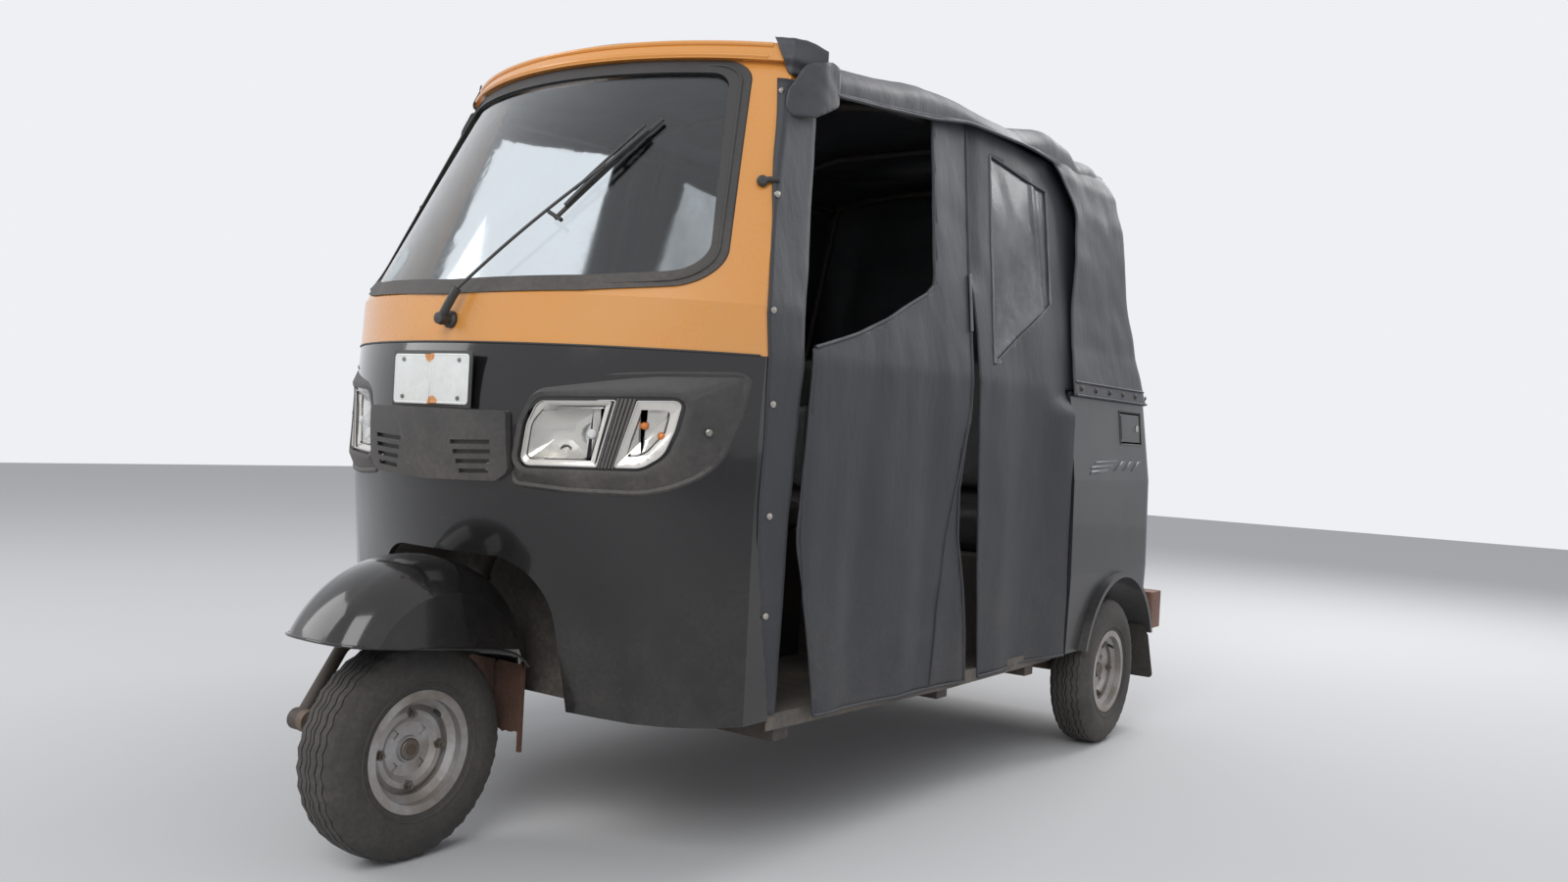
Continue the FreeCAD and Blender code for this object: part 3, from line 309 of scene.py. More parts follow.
# foot and head of each damper, in pairs
FRONT_DAMPER = [((-0.0934, -1.110, 0.236), (-0.0934, -1.062, 0.428))]
REAR_DAMPERS = [((side * 0.4856, 0.8008, 0.2436), (side * 0.4756, 0.8088, 0.5547)) for _, side in SIDES]
damper_steel = finish("damper steel", (0.05, 0.05, 0.055), (0.14, 0.09, 0.06), 0.45, metallic=0.6,
    patch=(12.0, 2.6), dusty=(0.15, 0.5, 0.6, 0.12))
for name, body, node, places, coil in (
        ("front_damper_spring", "steering", "front_damper", FRONT_DAMPER, 0.015),
        ("rear_damper_springs", "body", "rear_dampers", REAR_DAMPERS, 0.024)):
    bm = bmesh.new()
    for low, high in places:
        low, high = Vector(low), Vector(high)
        long = (high - low).length
        thin, barrel, wide = coil * 0.45, coil * 0.6, coil * 0.95
        rows = [(0, 0), (0, thin), (0.02, thin), (0.02, wide), (0.028, wide), (0.028, barrel),
            (long * 0.55, barrel), (long * 0.55, thin), (long - 0.032, thin), (long - 0.032, wide),
            (long - 0.024, wide), (long - 0.024, thin), (long, thin), (long, 0)]
        add_turned(bm, rows, low, high - low, steps=20)
        way = (high - low).normalized()
        add_coil(bm, low + way * 0.026, high - way * 0.03, coil, 0.0035, 8)
    piece(bm, name, body, damper_steel, replaces=(node,))


# Wheels: split steel rims painted silver, bolted together by four nuts, with small ribbed
# tyres whose four zigzag ribs run round the tread. Dirt lies brown in the rims.
def add_bar(bm, points, radius, closed=False, sides=3, corners=False):
    line = bpy.data.curves.new("bar", "CURVE")
    line.dimensions = "3D"
    line.bevel_depth = radius
    line.bevel_resolution = sides
    line.use_fill_caps = not closed
    spline = line.splines.new("POLY" if corners else "NURBS")
    spline.points.add(len(points) - 1)
    for knot, point in zip(spline.points, points):
        knot.co = (*point, 1.0)
    if not corners:
        spline.order_u = min(3, len(points))
        spline.use_endpoint_u = not closed
        spline.resolution_u = 6
    spline.use_cyclic_u = closed
    stand_in = bpy.data.objects.new("bar", line)
    mesh = bpy.data.meshes.new_from_object(stand_in)
    bm.from_mesh(mesh)
    bpy.data.objects.remove(stand_in)
    bpy.data.curves.remove(line)
    bpy.data.meshes.remove(mesh)


TYRE_STEPS = 144
ZIGZAG = (0.0, 0.0028, 0.0, -0.0028)
# tread and wall of one tyre half: distance out from the middle plane, radius
TREAD = [(0.0035, 0.2085), (0.0035, 0.2025), (0.0065, 0.2025), (0.0065, 0.2083), (0.0195, 0.2072),
    (0.0195, 0.2015), (0.0230, 0.2015), (0.0230, 0.2068), (0.0350, 0.2050), (0.0350, 0.2010),
    (0.0375, 0.2005), (0.0375, 0.2040), (0.0450, 0.1975), (0.0480, 0.1930), (0.0500, 0.1850),
    (0.0550, 0.1720), (0.0570, 0.1580), (0.0560, 0.1450), (0.0535, 0.1330), (0.0545, 0.1310),
    (0.0530, 0.1285), (0.0505, 0.1270), (0.0480, 0.1180), (0.0455, 0.1150), (0.0440, 0.1060)]
NUT_RING = 0.069
NUT_ROWS = [(-0.004, 0), (-0.004, 0.011), (0.001, 0.011), (0.0012, 0.0075), (0.007, 0.0075),
    (0.0075, 0.0045), (0.0125, 0.0045), (0.013, 0)]
CAP_ROWS = [(-0.006, 0), (-0.006, 0.021), (0.002, 0.021), (0.004, 0.019), (0.0045, 0)]
tyre_rubber = finish("tyre rubber", (0.018, 0.018, 0.019), (0.042, 0.038, 0.034), 0.75,
    patch=(6.0, 2.0), dusty=(-0.1, 0.9, 0.32, 0.07), dust_color=(0.24, 0.215, 0.19),
    skin=(700.0, 0.5, 0.25))
rim_silver = finish("silver rim paint", (0.50, 0.50, 0.51), (0.30, 0.27, 0.24), 0.42, metallic=0.65,
    patch=(11.0, 3.0), dusty=(-0.1, 0.7, 0.60, 0.08), dust_color=(0.23, 0.17, 0.12),
    skin=(300.0, 0.6, 0.12))
nut_steel = finish("nut steel", (0.20, 0.19, 0.18), (0.12, 0.08, 0.05), 0.5, metallic=0.8,
    patch=(20.0, 2.5))
AXLE_Z = 0.208
# name, middle of the hub across and along, direction the nuts face
WHEELS = (("front", 0.0, -1.0925, 1),
          ("rear_left", 0.601, 0.8925, 1),
          ("rear_right", -0.601, 0.8925, -1))
for corner, x, y, out in WHEELS:
    wheel = corner + "_wheel"
    hub = Vector((x, y, AXLE_Z))
    bm = bmesh.new()
    profile = [(out_by, radius) for out_by, radius in TREAD[::-1]]
    profile += [(-out_by, radius) for out_by, radius in TREAD]
    ring = [bm.verts.new((at, 0, radius)) for at, radius in profile]
    edges = [bm.edges.new(pair) for pair in zip(ring, ring[1:] + ring[:1])]
    bmesh.ops.spin(bm, geom=ring + edges, cent=(0, 0, 0), axis=(1, 0, 0), angle=math.tau,
        steps=TYRE_STEPS, use_merge=True)
    for vert in bm.verts:
        turn = round(math.atan2(vert.co.y, vert.co.z) / math.tau * TYRE_STEPS)
        reach = math.hypot(vert.co.y, vert.co.z)
        if reach > 0.199 and abs(vert.co.x) < 0.041:
            vert.co.x += ZIGZAG[turn % 4]
        elif reach > 0.183 and turn % 4 == 0:
            vert.co.y *= 1 - 0.0025 / reach
            vert.co.z *= 1 - 0.0025 / reach
    bmesh.ops.translate(bm, verts=bm.verts[:], vec=hub)
    piece(bm, corner + "_ribbed_tyre", wheel, tyre_rubber, smooth=28,
        replaces=(corner + "_tyre",))

    dress(rim_silver, corner + "_rim")
    bm = bmesh.new()
    for turn in range(4):
        angle = math.radians(90 * turn)
        spot = hub + Vector((out * 0.0205, NUT_RING * math.cos(angle), NUT_RING * math.sin(angle)))
        add_turned(bm, NUT_ROWS, spot, (out, 0, 0), steps=6)
    add_turned(bm, CAP_ROWS, hub + Vector((out * 0.0195, 0, 0)), (out, 0, 0), steps=24)
    piece(bm, corner + "_rim_nuts", wheel, nut_steel, smooth=25)
    bm = bmesh.new()
    stem = hub + Vector((out * 0.024, 0.052, 0.066))
    tip = [stem + Vector((out * 0.010, 0, 0)), stem + Vector((out * 0.018, -0.004, -0.005))]
    add_bar(bm, [stem, *tip], 0.0042, sides=4)
    piece(bm, corner + "_tyre_valve", wheel, tyre_rubber)


# Upper cab: one steel pressing round the screen, in warm yellow gloss that has gone a little
# chalky, with a stepped gutter along its roof lip and a dark joint where it meets the cowl.
CAB_R = 0.720
# height, y of the middle of the front, and half width where the side begins
CAB_LEVELS = ((0.290, -0.923, 0.552), (0.500, -0.993, 0.562), (0.720, -1.058, 0.570),
    (0.988, -1.058, 0.575), (1.083, -1.053, 0.567), (1.636, -0.727, 0.455))


# The two rows of a table round a value, and the value's share of the way between them
def rows_round(levels, value, held=False):
    low, high = next(pair for pair in zip(levels, levels[1:])
        if value <= pair[1][0] or pair[1] is levels[-1])
    share = (value - low[0]) / (high[0] - low[0])
    return low, high, min(max(share, 0.0), 1.0) if held else share


def blended(levels, value, held=False):
    low, high, share = rows_round(levels, value, held)
    return [a + (b - a) * share for a, b in zip(low, high)]


def cab_side(z):
    return blended(CAB_LEVELS, z)[2]


# A point on the cab's curved front, or proud of it
def cab_front(x, z, proud=0.0):
    low, high, share = rows_round(CAB_LEVELS, z)
    out = x / cab_side(z)
    edge = [front + CAB_R - math.sqrt(CAB_R ** 2 - (out * side) ** 2) for _, front, side in (low, high)]
    y = edge[0] + (edge[1] - edge[0]) * share
    axle = low[1] + (high[1] - low[1]) * share + CAB_R
    away = Vector((x, y - axle, 0)).normalized()
    return Vector((x, y, z)) + away * proud


# Turned parts that stand on the cab's front, facing away from it
def add_on_cab(bm, rows, x, z, proud, steps):
    at = cab_front(x, z, proud)
    add_turned(bm, rows, at, cab_front(x, z, proud + 0.1) - at, steps=steps)


cab_yellow = finish("warm yellow gloss", (0.66, 0.265, 0.040), (0.70, 0.31, 0.070), 0.24, coat=0.5,
    patch=(2.2, 1.4), dusty=(0.98, 1.35, 0.16, 0.04), dust_color=(0.52, 0.42, 0.30),
    skin=(900.0, 0.6, 0.03), scored=0.12)
joint_black = finish("black sealing strip", (0.012, 0.012, 0.013), (0.03, 0.03, 0.03), 0.5)
dress(cab_yellow, "windscreen_surround")
GUTTER_X = 0.422
bm = bmesh.new()
for level, proud, radius in ((1.603, 0.0150, 0.0050), (1.630, 0.0160, 0.0060)):
    add_bar(bm, [cab_front(GUTTER_X * (step / 12 - 1), level, proud) for step in range(25)], radius)
piece(bm, "roof_gutter_ridges", "body", cab_yellow)
bm = bmesh.new()
add_bar(bm, [cab_front(0.568 * (step / 20 - 1), 0.9885, 0.0005) for step in range(41)], 0.0022)
piece(bm, "cab_joint_strip", "body", joint_black)


# Windscreen: bowed glass in one thick rubber seal, whose locking bead runs all the way round.
# A faded round paper disc sticks to the glass low on the far side.
def rounded(rows, segments=6):
    shape = bmesh.new()
    face = shape.faces.new([shape.verts.new((a, b, 0)) for a, b, _ in rows])
    for vert, (_, _, radius) in zip(list(face.verts), rows):
        if radius:
            near = [edge.other_vert(vert).co - vert.co for edge in vert.link_edges]
            half = near[0].angle(near[1]) / 2
            bmesh.ops.bevel(shape, geom=[vert], offset=radius / math.tan(half), segments=segments,
                profile=0.5, affect="VERTICES", material=-1)
    shape.faces.ensure_lookup_table()
    points = [vert.co.copy() for vert in shape.faces[0].verts]
    shape.free()
    return points


SCREEN_HALF = [(0.300, 1.098, 0), (0.410, 1.110, 0), (0.502, 1.124, 0.062), (0.396, 1.586, 0.052),
    (0.200, 1.586, 0)]
SCREEN = [(0, 1.087, 0)] + SCREEN_HALF + [(-x, z, radius) for x, z, radius in SCREEN_HALF[::-1]]
BEAD_IN = 0.982
seal_rubber = finish("screen seal rubber", (0.014, 0.014, 0.015), (0.035, 0.035, 0.036), 0.55,
    patch=(8.0, 1.6), dusty=(1.0, 1.4, 0.25, 0.05), skin=(600.0, 0.4, 0.1))
dress(seal_rubber, "windscreen_seal")
middle = Vector((0, 1.336, 0))
bead = [middle + (point - middle) * BEAD_IN for point in rounded(SCREEN, 8)]
bm = bmesh.new()
add_bar(bm, [cab_front(point.x, point.y, 0.0045) for point in bead], 0.0032, closed=True)
piece(bm, "screen_seal_bead", "body", seal_rubber)

screen_glass, tree, shader = bare_look("windscreen glass")
smear = placed(tree, dust, Low=1.05, High=1.6, Amount=0.12, Base=0.03)
tint = mixed(tree, smear, (0.80, 0.87, 0.90), (0.45, 0.45, 0.44))
feed(tree, shader, {"Transmission Weight": 1.0, "IOR": 1.5, "Base Color": tint,
    "Roughness": mapped(tree, smear, 0.0, 0.3, 0.01, 0.25)})
dress(screen_glass, "windscreen_glass")

DISC_X, DISC_Z, DISC_R = -0.285, 1.160, 0.038
paper = finish("faded paper", (0.30, 0.42, 0.44), (0.42, 0.50, 0.50), 0.7, patch=(30.0, 2.0))
bm = bmesh.new()
bmesh.ops.create_circle(bm, cap_ends=True, segments=36, radius=DISC_R)
bmesh.ops.inset_individual(bm, faces=bm.faces[:], thickness=0.006, depth=0)
for vert in bm.verts:
    vert.co = cab_front(DISC_X + vert.co.x, DISC_Z + vert.co.y, -0.0098)
piece(bm, "screen_paper_disc", "body", paper)


# Wiper: a black arm from a capped pivot at the foot of the screen, with a spring cover, two
# bridge bars and a rubber blade that has stopped high on the glass.
PIVOT = (0.030, 1.031)
COVER_END = (0.062, 1.088)
KNEE = (0.237, 1.345)
BLADE_LOW, BLADE_HIGH = (0.182, 1.235), (0.293, 1.454)
wiper_black = finish("wiper black", (0.015, 0.015, 0.016), (0.04, 0.04, 0.042), 0.45,
    skin=(600.0, 0.4, 0.1))


def beside(start, end, share, off=0.0):
    run = Vector((end[0] - start[0], end[1] - start[1], 0))
    turned = Vector((-run.y, run.x, 0)).normalized() * off
    return start[0] + run.x * share + turned.x, start[1] + run.y * share + turned.y


def on_blade(share, proud, off=0.0):
    return cab_front(*beside(BLADE_LOW, BLADE_HIGH, share, off), proud)


bm = bmesh.new()
add_on_cab(bm, [(0.0, 0.0), (0.0, 0.017), (0.006, 0.017), (0.010, 0.012), (0.020, 0.012),
    (0.024, 0.013), (0.034, 0.011), (0.036, 0.0)], *PIVOT, 0.0, 24)
cover = [cab_front(*beside(PIVOT, COVER_END, share), 0.026) for share in (0.0, 0.5, 1.0)]
add_bar(bm, cover, 0.0085, sides=4)
arm = [cab_front(*beside(COVER_END, KNEE, step / 5), 0.026 + 0.005 * math.sin(math.pi * step / 5))
    for step in range(6)]
add_bar(bm, arm, 0.0032)
for share in (0.38, 0.62):
    add_bar(bm, [on_blade(share, 0.011), on_blade(share, 0.022)], 0.005)
shares = (0.12, 0.3, 0.5, 0.7, 0.88)
add_bar(bm, [on_blade(share, 0.013 + 0.010 * math.sin(math.pi * share)) for share in shares], 0.0042)
add_bar(bm, [on_blade(share, 0.016, 0.014) for share in (0.25, 0.45, 0.65, 0.9)], 0.003)
add_bar(bm, [cab_front(*KNEE, 0.027), on_blade(0.5, 0.022)], 0.0055)
add_bar(bm, [on_blade(0.02, 0.014, -0.02), on_blade(0.02, 0.014, 0.02)], 0.004)
piece(bm, "wiper_arm", "body", wiper_black, replaces=("wiper",))
bm = bmesh.new()
add_bar(bm, [on_blade(step / 8, 0.006) for step in range(9)], 0.0045)
piece(bm, "wiper_rubber", "body", seal_rubber)


# Front cowl: one deep steel pressing in black gloss that mirrors the ground, open at the front
# arch over a pressed wheel well. The fender shares its paint.
gloss_black = finish("black gloss paint", (0.006, 0.006, 0.007), (0.012, 0.012, 0.013), 0.13, coat=0.6,
    patch=(2.5, 1.2), dusty=(0.25, 0.62, 0.20, 0.015), dust_color=(0.24, 0.20, 0.16),
    skin=(1100.0, 0.6, 0.02), scored=0.10)
under_black = finish("underseal", (0.010, 0.010, 0.011), (0.03, 0.028, 0.026), 0.85, patch=(8.0, 2.0),
    dusty=(0.2, 0.7, 0.6, 0.1), skin=(160.0, 0.8, 0.6))
gloss_shader = gloss_black.node_tree.nodes["Principled BSDF"]
gloss_shader.inputs["Specular IOR Level"].default_value = 0.3
dress(gloss_black, "front_cowl", "front_fender")
dress(under_black, "wheel_well")


# Fender: the bead rolled round its edge, and the rubber flap that a steel strip holds behind
# the wheel. The flap is thick with red-brown dirt.
# the bead from the middle of the front edge down one side
FENDER_EDGE = [(0, -1.3165, 0.438), (0.05, -1.3130, 0.4375), (0.088, -1.300, 0.436),
    (0.111, -1.268, 0.4325), (0.1165, -1.10, 0.4145), (0.1165, -0.912, 0.3925), (0.1165, -0.888, 0.356)]
bm = bmesh.new()
add_bar(bm, [(-x, y, z) for x, y, z in FENDER_EDGE[:0:-1]] + FENDER_EDGE, 0.0032)
piece(bm, "fender_edge_bead", "steering", gloss_black)

mud_rubber = finish("muddy flap rubber", (0.10, 0.035, 0.022), (0.035, 0.022, 0.018), 0.85,
    patch=(9.0, 2.4), dusty=(0.1, 0.5, 0.4, 0.2), dust_color=(0.22, 0.13, 0.08), skin=(150.0, 0.8, 0.5))
FLAP_HALF, FLAP_LOW, FLAP_TOP, FLAP_Y = 0.078, 0.215, 0.352, -0.869


def add_box(bm, centre, size):
    shape = Matrix.Translation(centre) @ Matrix.Diagonal((*size, 1))
    verts = bmesh.ops.create_cube(bm, size=1, matrix=shape)["verts"]
    return list({edge for vert in verts for edge in vert.link_edges})


def bevelled(bm, edges, offset, segments, **more):
    bmesh.ops.bevel(bm, geom=edges, offset=offset, segments=segments, profile=0.5, affect="EDGES",
        material=-1, **more)


# Soft unevenness of a given size at a spot
def rippled(size, *spot):
    return size * noise.noise(Vector(spot))


bm = bmesh.new()
bmesh.ops.create_grid(bm, x_segments=16, y_segments=16, size=1)
for vert in bm.verts:
    across_, down = vert.co.x, (vert.co.y + 1) / 2
    ragged = rippled(0.012, across_ * 4, 3, 0) * (1 - down)
    vert.co = Vector((across_ * FLAP_HALF, FLAP_Y + 0.0012 * math.sin(across_ * 5) * (1 - down),
        FLAP_LOW + ragged + (FLAP_TOP - FLAP_LOW) * down))
bmesh.ops.solidify(bm, geom=bm.faces[:], thickness=0.003)
add_box(bm, (0.083, -0.871, 0.267), (0.010, 0.006, 0.182))
piece(bm, "front_flap_rubber", "steering", mud_rubber, replaces=("front_mudflap",))


# Headlamp surrounds: two moulded black plastic frames screwed over the cowl's corners, with a
# rolled outer edge, a broad pebbled face and a step down to the lens.
BEZEL = [(0.191, 0.722, 0.020), (0.300, 0.715, 0), (0.440, 0.716, 0.150), (0.526, 0.766, 0.100),
    (0.553, 0.870, 0.090), (0.565, 0.958, 0.022), (0.440, 0.950, 0), (0.228, 0.930, 0.050),
    (0.193, 0.862, 0.060)]
LENS_PAIR = [(0.2130, 0.7640, 0.016), (0.4180, 0.7700, 0.030), (0.4480, 0.7950, 0.040),
    (0.4620, 0.8400, 0.040), (0.4715, 0.8955, 0.012), (0.2420, 0.8840, 0.022), (0.2230, 0.8400, 0.050)]
STEP_OUT = 0.016
CUT_STEP = 0.0125
moulded = finish("moulded black plastic", (0.020, 0.020, 0.021), (0.042, 0.042, 0.043), 0.48,
    patch=(5.0, 1.8), dusty=(0.7, 1.0, 0.25, 0.05), skin=(950.0, 0.4, 0.22), scored=0.15)


def walled(made, thickness):
    wall = made.modifiers.new("wall", "SOLIDIFY")
    wall.thickness = thickness
    wall.offset = -1
    return made


# The points of an outline pushed out from its middle
def grown(points, by):
    count = len(points)
    spread = []
    for index, point in enumerate(points):
        along = (points[(index + 1) % count] - points[index - 1]).normalized()
        spread.append(point + Vector((along.y, -along.x, 0)) * by)
    return spread


def add_face(bm, points, depth=0.0):
    return bm.faces.new([bm.verts.new((point.x, point.y, depth)) for point in points])


# Steps inwards from a face, rows of (thickness, depth), and gives the face that is left
def step_in(bm, face, rows):
    for thickness, depth in rows:
        bmesh.ops.inset_individual(bm, faces=[face], thickness=thickness, depth=depth,
            use_even_offset=True)
    return face


# Lays flat work, with its depth along z, on both sides of the cab's front
def on_cab(bm):
    for step in range(int(0.58 / CUT_STEP)):
        bmesh.ops.bisect_plane(bm, geom=bm.verts[:] + bm.edges[:] + bm.faces[:], dist=1e-6,
            plane_co=(step * CUT_STEP, 0, 0), plane_no=(1, 0, 0))
    for vert in bm.verts:
        vert.co = cab_front(vert.co.x, vert.co.y, vert.co.z)
    bmesh.ops.mirror(bm, geom=bm.verts[:] + bm.edges[:] + bm.faces[:], axis="X", merge_dist=-1)


# Takes a face away and gives the edges that were round it
def opened(bm, face):
    edges = list(face.edges)
    bmesh.ops.delete(bm, geom=[face], context="FACES_ONLY")
    return edges


bm = bmesh.new()
face = add_face(bm, rounded(BEZEL, 8), -0.0005)
face = step_in(bm, face, [(0.0005, 0.0095), (0.0020, 0.0035), (0.0035, 0.0018), (0.0060, -0.0022),
    (0.0030, 0.0015)])
outer = opened(bm, face)
face = add_face(bm, grown(rounded(LENS_PAIR, 8), STEP_OUT), 0.0140)
inner = list(face.edges)
face = step_in(bm, face, [(0.0030, -0.0045), (0.0090, -0.0015), (0.0015, -0.0160), (0.0005, -0.0100)])
bmesh.ops.delete(bm, geom=[face], context="FACES_ONLY")
bmesh.ops.bridge_loops(bm, edges=outer + inner)
on_cab(bm)
piece(bm, "headlamp_frames", "body", moulded, smooth=40,
    replaces=("headlamp_bezels",))

screw_steel = finish("screw steel", (0.30, 0.30, 0.29), (0.16, 0.13, 0.10), 0.4, metallic=0.9,
    patch=(30.0, 2.0))
bm = bmesh.new()
for x in (0.508, -0.508):
    add_on_cab(bm, [(0, 0), (0, 0.0075), (0.0035, 0.0065), (0.0050, 0.0035), (0.0052, 0.0022),
        (0.0035, 0)], x, 0.8406, 0.0145, 16)
piece(bm, "headlamp_frame_screws", "body", screw_steel)


# Headlamps: a clear cover over a chrome bowl with its bulb and shield, and beside it, past a
# dark slanted bar, the indicator's own clear cover over two amber bulbs.
LAMP = [(0.2130, 0.7640, 0.016), (0.3483, 0.7675, 0.003), (0.3743, 0.8905, 0.003),
    (0.2420, 0.8840, 0.022), (0.2230, 0.8400, 0.050)]
SIGNAL = [(0.3772, 0.7685, 0.003), (0.4180, 0.7700, 0.030), (0.4480, 0.7950, 0.040),
    (0.4620, 0.8400, 0.040), (0.4715, 0.8950, 0.010), (0.4071, 0.8910, 0.003)]
cover_clear, tree, shader = bare_look("clear lens cover")
haze = placed(tree, dust, Low=0.7, High=1.0, Amount=0.10, Base=0.03)
tint = mixed(tree, haze, (0.95, 0.96, 0.96), (0.6, 0.58, 0.52))
feed(tree, shader, {"Transmission Weight": 1.0, "IOR": 1.45, "Base Color": tint,
    "Roughness": mapped(tree, haze, 0.0, 1.0, 0.02, 0.4)})
chrome = finish("bowl chrome", (0.80, 0.77, 0.73), (0.62, 0.59, 0.54), 0.20, metallic=0.85,
    patch=(9.0, 1.4), skin=(120.0, 0.8, 0.08))
bulb_glass = finish("bulb glass", (0.75, 0.76, 0.78), (0.60, 0.60, 0.58), 0.12, coat=0.5,
    patch=(40.0, 1.0))
amber = finish("amber bulb", (0.75, 0.22, 0.02), (0.62, 0.16, 0.02), 0.15, coat=0.5, patch=(40.0, 1.0))
shield_black = finish("lamp shield", (0.015, 0.015, 0.016), (0.03, 0.03, 0.03), 0.4, patch=(8.0, 1.4))
divider_smoke = finish("ribbed divider", (0.050, 0.044, 0.041), (0.115, 0.105, 0.100), 0.28, coat=0.6,
    patch=(26.0, 1.8))

bm = bmesh.new()
for lens_rows in (LAMP, SIGNAL):
    face = add_face(bm, rounded(lens_rows), -0.006)
    face = step_in(bm, face, [(0.0003, 0.0130), (0.0015, 0.0018), (0.0040, 0.0010), (0.0100, 0.0008)])
on_cab(bm)
covers = piece(bm, "headlamp_covers", "body", cover_clear, smooth=30,
    replaces=("headlamps",))
walled(covers, 0.0022)


# Sinks a face in rings, rows of (share of the ring before, depth)
def sink(bm, face, rows):
    for share, depth in rows:
        bmesh.ops.inset_individual(bm, faces=[face], thickness=0.0, depth=0.0)
        middle = face.calc_center_median()
        bmesh.ops.scale(bm, vec=(share, share, 1), space=Matrix.Translation(-middle),
            verts=face.verts[:])
        bmesh.ops.translate(bm, vec=(0, 0, depth), verts=face.verts[:])


# the pockets pressed in the cowl, which a flange of the bowl covers out to the lens line
LAMP_POCKET = [(0.209, 0.766, 0.014), (0.345, 0.771, 0.003), (0.369, 0.888, 0.004),
    (0.249, 0.882, 0.026), (0.218, 0.845, 0.040)]
SIGNAL_POCKET = [(0.378, 0.771, 0.004), (0.419, 0.776, 0.040), (0.460, 0.835, 0.030),
    (0.469, 0.893, 0.014), (0.408, 0.890, 0.004)]
MAIN_BOWL = [(0.90, -0.005), (0.86, -0.006), (0.82, -0.006), (0.74, -0.005), (0.60, -0.004)]
SIGNAL_BOWL = [(0.80, -0.004), (0.75, -0.004), (0.70, -0.003), (0.62, -0.002), (0.50, -0.001)]
bm = bmesh.new()
BOWLS = ((LAMP, LAMP_POCKET, MAIN_BOWL), (SIGNAL, SIGNAL_POCKET, SIGNAL_BOWL))
for lens_rows, pocket_rows, bowl_rows in BOWLS:
    flange = opened(bm, add_face(bm, grown(rounded(lens_rows), -0.0008), 0.0046))
    face = add_face(bm, grown(rounded(pocket_rows), -0.0020), 0.0042)
    bmesh.ops.bridge_loops(bm, edges=flange + list(face.edges))
    sink(bm, face, bowl_rows)
on_cab(bm)
piece(bm, "headlamp_bowls", "body", chrome, smooth=60)

rim_pale = finish("lens rim", (0.62, 0.62, 0.60), (0.45, 0.44, 0.42), 0.3, patch=(30.0, 1.4))
bm = bmesh.new()
for side in (1, -1):
    for lens_rows in (LAMP, SIGNAL):
        line = [cab_front(side * point.x, point.y, 0.0080) for point in rounded(lens_rows, 5)]
        add_bar(bm, line, 0.0014, closed=True, corners=True)
piece(bm, "headlamp_rims", "body", rim_pale)

# Places in the lamps as (x, z, depth), and the profiles turned there
BULB, PORT = (0.336, 0.827, -0.026), (0.289, 0.793, -0.021)
AMBERS = ((0.4186, 0.8469, -0.014), (0.4447, 0.8294, -0.014))
BULB_ROWS = [(0, 0), (0, 0.018), (0.006, 0.018), (0.008, 0.013), (0.014, 0.013), (0.014, 0.009),
    (0.026, 0.009), (0.030, 0.006), (0.031, 0)]
RING_ROWS = [(0.010, 0.0205), (0.013, 0.0225), (0.016, 0.0205), (0.013, 0.0185), (0.010, 0.0205)]
PORT_ROWS = [(0, 0), (0.0, 0.0125), (0.006, 0.0120), (0.007, 0.0095), (0.002, 0.0085), (0.002, 0)]
AMBER_ROWS = [(0, 0), (0, 0.0075), (0.008, 0.0085), (0.013, 0.0075), (0.017, 0.004), (0.018, 0)]
SHIELD_ARM = ((0.300, 0.827, -0.030), (0.312, 0.829, -0.022), (0.326, 0.828, -0.024))
for name, look, steps, places, profiles in (
        ("headlamp_bulbs", bulb_glass, 24, (BULB,), (BULB_ROWS, RING_ROWS)),
        ("headlamp_shields", shield_black, 20, (PORT,), (PORT_ROWS,)),
        ("indicator_bulbs", amber, 20, AMBERS, (AMBER_ROWS,))):
    bm = bmesh.new()
    for side in (1, -1):
        for x, z, depth in places:
            for rows in profiles:
                add_on_cab(bm, rows, side * x, z, depth, steps)
        if look is shield_black:
            add_bar(bm, [cab_front(side * x, z, depth) for x, z, depth in SHIELD_ARM], 0.0045)
    piece(bm, name, "body", look)

bm = bmesh.new()
lower, upper = Vector((0.3627, 0.7660, 0)), Vector((0.3907, 0.8950, 0))
for off in (-2, -1, 0, 1, 2):
    for side in (1, -1):
        way = []
        for share in (0.0, 0.5, 1.0):
            point = lower.lerp(upper, share) + Vector((off * (0.0056 + 0.0006 * share), 0, 0))
            way.append(cab_front(side * point.x, point.y, 0.0075 - 0.0012 * abs(off)))
        add_bar(bm, way, 0.0032, sides=2)
piece(bm, "lens_dividers", "body", divider_smoke)


# Nose grille: a moulded plastic panel between the lamps with four slanted slots each side. Its
# badge has come off, and four screws hold it.
dress(moulded, "nose_grille")
bm = bmesh.new()
for x, z in ((0.163, 0.836), (-0.163, 0.836), (0.152, 0.756), (-0.152, 0.756)):
    add_on_cab(bm, [(0, 0), (0, 0.0085), (0.0030, 0.0080), (0.0045, 0.0050), (0.0046, 0.003),
        (0.003, 0)], x, z, 0.0115, 16)
piece(bm, "grille_screws", "body", screw_steel)
bm = bmesh.new()
for z, half, radius, proud in ((0.8585, 0.190, 0.0045, 0.0105), (0.7330, 0.150, 0.0030, 0.0115)):
    add_bar(bm, [cab_front(half * (step / 8 - 1), z, proud) for step in range(17)], radius)
piece(bm, "grille_edge_rolls", "body", moulded)


